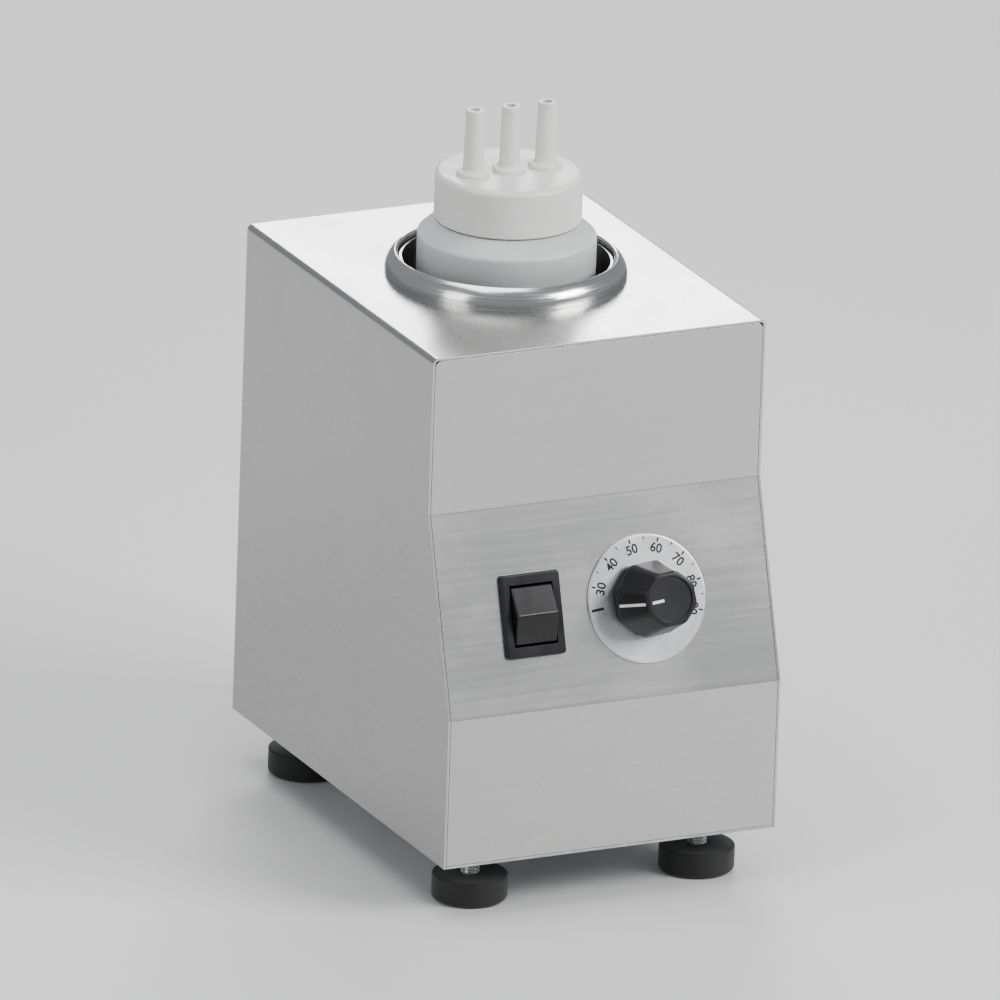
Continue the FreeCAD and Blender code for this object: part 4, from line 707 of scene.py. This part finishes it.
def thread(bm, neck, start):
    """One helical ridge, tapering out at both ends."""
    steps = int(THREAD_TURNS * THREAD_STEPS)
    root = neck - 0.2 * MM
    sections = []
    for k in range(steps + 1):
        turn = math.tau * THREAD_TURNS * k / steps
        rise = start + THREAD_PITCH * THREAD_TURNS * k / steps
        share = min(1.0, k / THREAD_TAPER, (steps - k) / THREAD_TAPER)
        crest = neck - 0.1 * MM + (THREAD_DEPTH + 0.1 * MM) * share
        profile = ((root, -1.0), (crest, -0.45), (crest, 0.45), (root, 1.0))
        sections.append([bm.verts.new(well_point(r, turn, rise + z * MM)) for r, z in profile])
    for first, second in zip(sections, sections[1:]):
        bridge(bm, first, second)
    bm.faces.new(sections[0])
    bm.faces.new(sections[-1][::-1])


def bottle():
    """The squeeze bottle as one thin wall, with a pushed-up base, mould seams and a helical thread."""
    bm = bmesh.new()
    low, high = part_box("bottle")
    body = (high.x - low.x) / 2
    neck = body - NECK_STEP
    outer = bottle_outline(0.0, low.z, high.z, body)
    outer += arc((neck - MOUTH_ROUND, high.z - MOUTH_ROUND), MOUTH_ROUND, 0, 90, 4)
    inner = bottle_outline(BOTTLE_WALL, low.z, high.z, body)
    inner.append((neck - BOTTLE_WALL, high.z - 0.1 * MM))
    inner.append((neck - BOTTLE_WALL + 0.15 * MM, high.z))
    turns = [math.tau * k / ROUND_STEPS for k in range(ROUND_STEPS)]
    rings = []
    for radius, height in outer:
        wide = radius > body - 0.5 * MM
        reaches = [radius + (seam(t, height, low.z) if wide else 0.0) for t in turns]
        rings.append([bm.verts.new(well_point(r, t, height)) for r, t in zip(reaches, turns)])
    for radius, height in reversed(inner):
        rings.append([bm.verts.new(well_point(radius, t, height)) for t in turns])
    for lower, upper in zip(rings, rings[1:]):
        bridge(bm, lower, upper)
    bm.faces.new(rings[0][::-1])
    bm.faces.new(rings[-1])
    thread(bm, neck, high.z - THREAD_START)
    mesh = mesh_from(bm, "squeeze_bottle", 35)
    made = piece("squeeze_bottle", mesh, "bottle_plastic", "bottle")
    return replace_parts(made, "bottle")


bottle()


# ---- Studio --------------------------------------------------------------------------------------
VIEW_AZIMUTH = -25.7         # degrees; 0 looks along +Y
VIEW_ELEVATION = 19.2
VIEW_ROLL = 1.97
LENS = 1000.0                # long enough that parallel edges stay parallel
VIEW_DISTANCE = 11.44
AIM_RIGHT = 1.0 * MM         # the camera aims this far right of the object's middle
AIM_BELOW = 18.0 * MM


def floor():
    bm = bmesh.new()
    bmesh.ops.create_grid(bm, x_segments=1, y_segments=1, size=6.0)
    mesh = mesh_from(bm, "floor")
    paint = Paint("pale_floor", Roughness=0.55)
    cloud = paint.noise(2.0, 3.0, 0.5)
    paint.set(Base_Color=paint.blend(cloud, rgb(0.74, 0.74, 0.735), rgb(0.80, 0.80, 0.79)))
    mesh.materials.append(paint.material)
    obj = bpy.data.objects.new("floor", mesh)
    bpy.context.scene.collection.objects.link(obj)


def area_light(name, place, target, width, height, power):
    light = bpy.data.lights.new(name, "AREA")
    light.shape = "RECTANGLE"
    light.size = width
    light.size_y = height
    light.energy = power
    obj = bpy.data.objects.new(name, light)
    obj.location = place
    obj.rotation_mode = "QUATERNION"
    obj.rotation_quaternion = (Vector(target) - Vector(place)).to_track_quat("-Z", "Y")
    obj.visible_camera = False
    bpy.context.scene.collection.objects.link(obj)


def world():
    made = bpy.data.worlds.new("studio")
    made.use_nodes = True
    background = made.node_tree.nodes["Background"]
    background.inputs["Color"].default_value = (0.93, 0.95, 1.0, 1.0)
    background.inputs["Strength"].default_value = 0.34
    bpy.context.scene.world = made


def camera():
    azimuth, elevation = math.radians(VIEW_AZIMUTH), math.radians(VIEW_ELEVATION)
    back = Vector((math.sin(azimuth) * math.cos(elevation), -math.cos(azimuth) * math.cos(elevation),
                   math.sin(elevation)))
    center = (cad_low + cad_high) / 2
    aim = Vector((center.x + AIM_RIGHT, WELL.y, center.z - AIM_BELOW))
    data = bpy.data.cameras.new("camera")
    data.lens = LENS
    data.sensor_width = 36.0
    data.clip_start, data.clip_end = 0.05, 50.0
    obj = bpy.data.objects.new("camera", data)
    obj.location = aim + back * VIEW_DISTANCE
    obj.rotation_mode = "QUATERNION"
    roll = Quaternion((0, 0, 1), math.radians(VIEW_ROLL))
    obj.rotation_quaternion = (-back).to_track_quat("-Z", "Y") @ roll
    bpy.context.scene.collection.objects.link(obj)
    bpy.context.scene.camera = obj


floor()
world()
area_light("key", (1.4, -1.5, 1.4), (0, 0, 0.12), 1.2, 0.9, 40.0)
area_light("fill", (-2.0, -0.6, 0.9), (0, 0, 0.12), 0.8, 1.4, 9.0)
area_light("back", (0.8, 1.9, 1.1), (0, 0, 0.2), 1.0, 0.6, 12.0)
area_light("overhead", (-0.3, 0.0, 2.0), (0, 0, 0), 1.2, 1.2, 13.0)
camera()

bpy.context.scene.view_settings.view_transform = "AgX"
bpy.context.scene.view_settings.look = "AgX - Medium High Contrast"
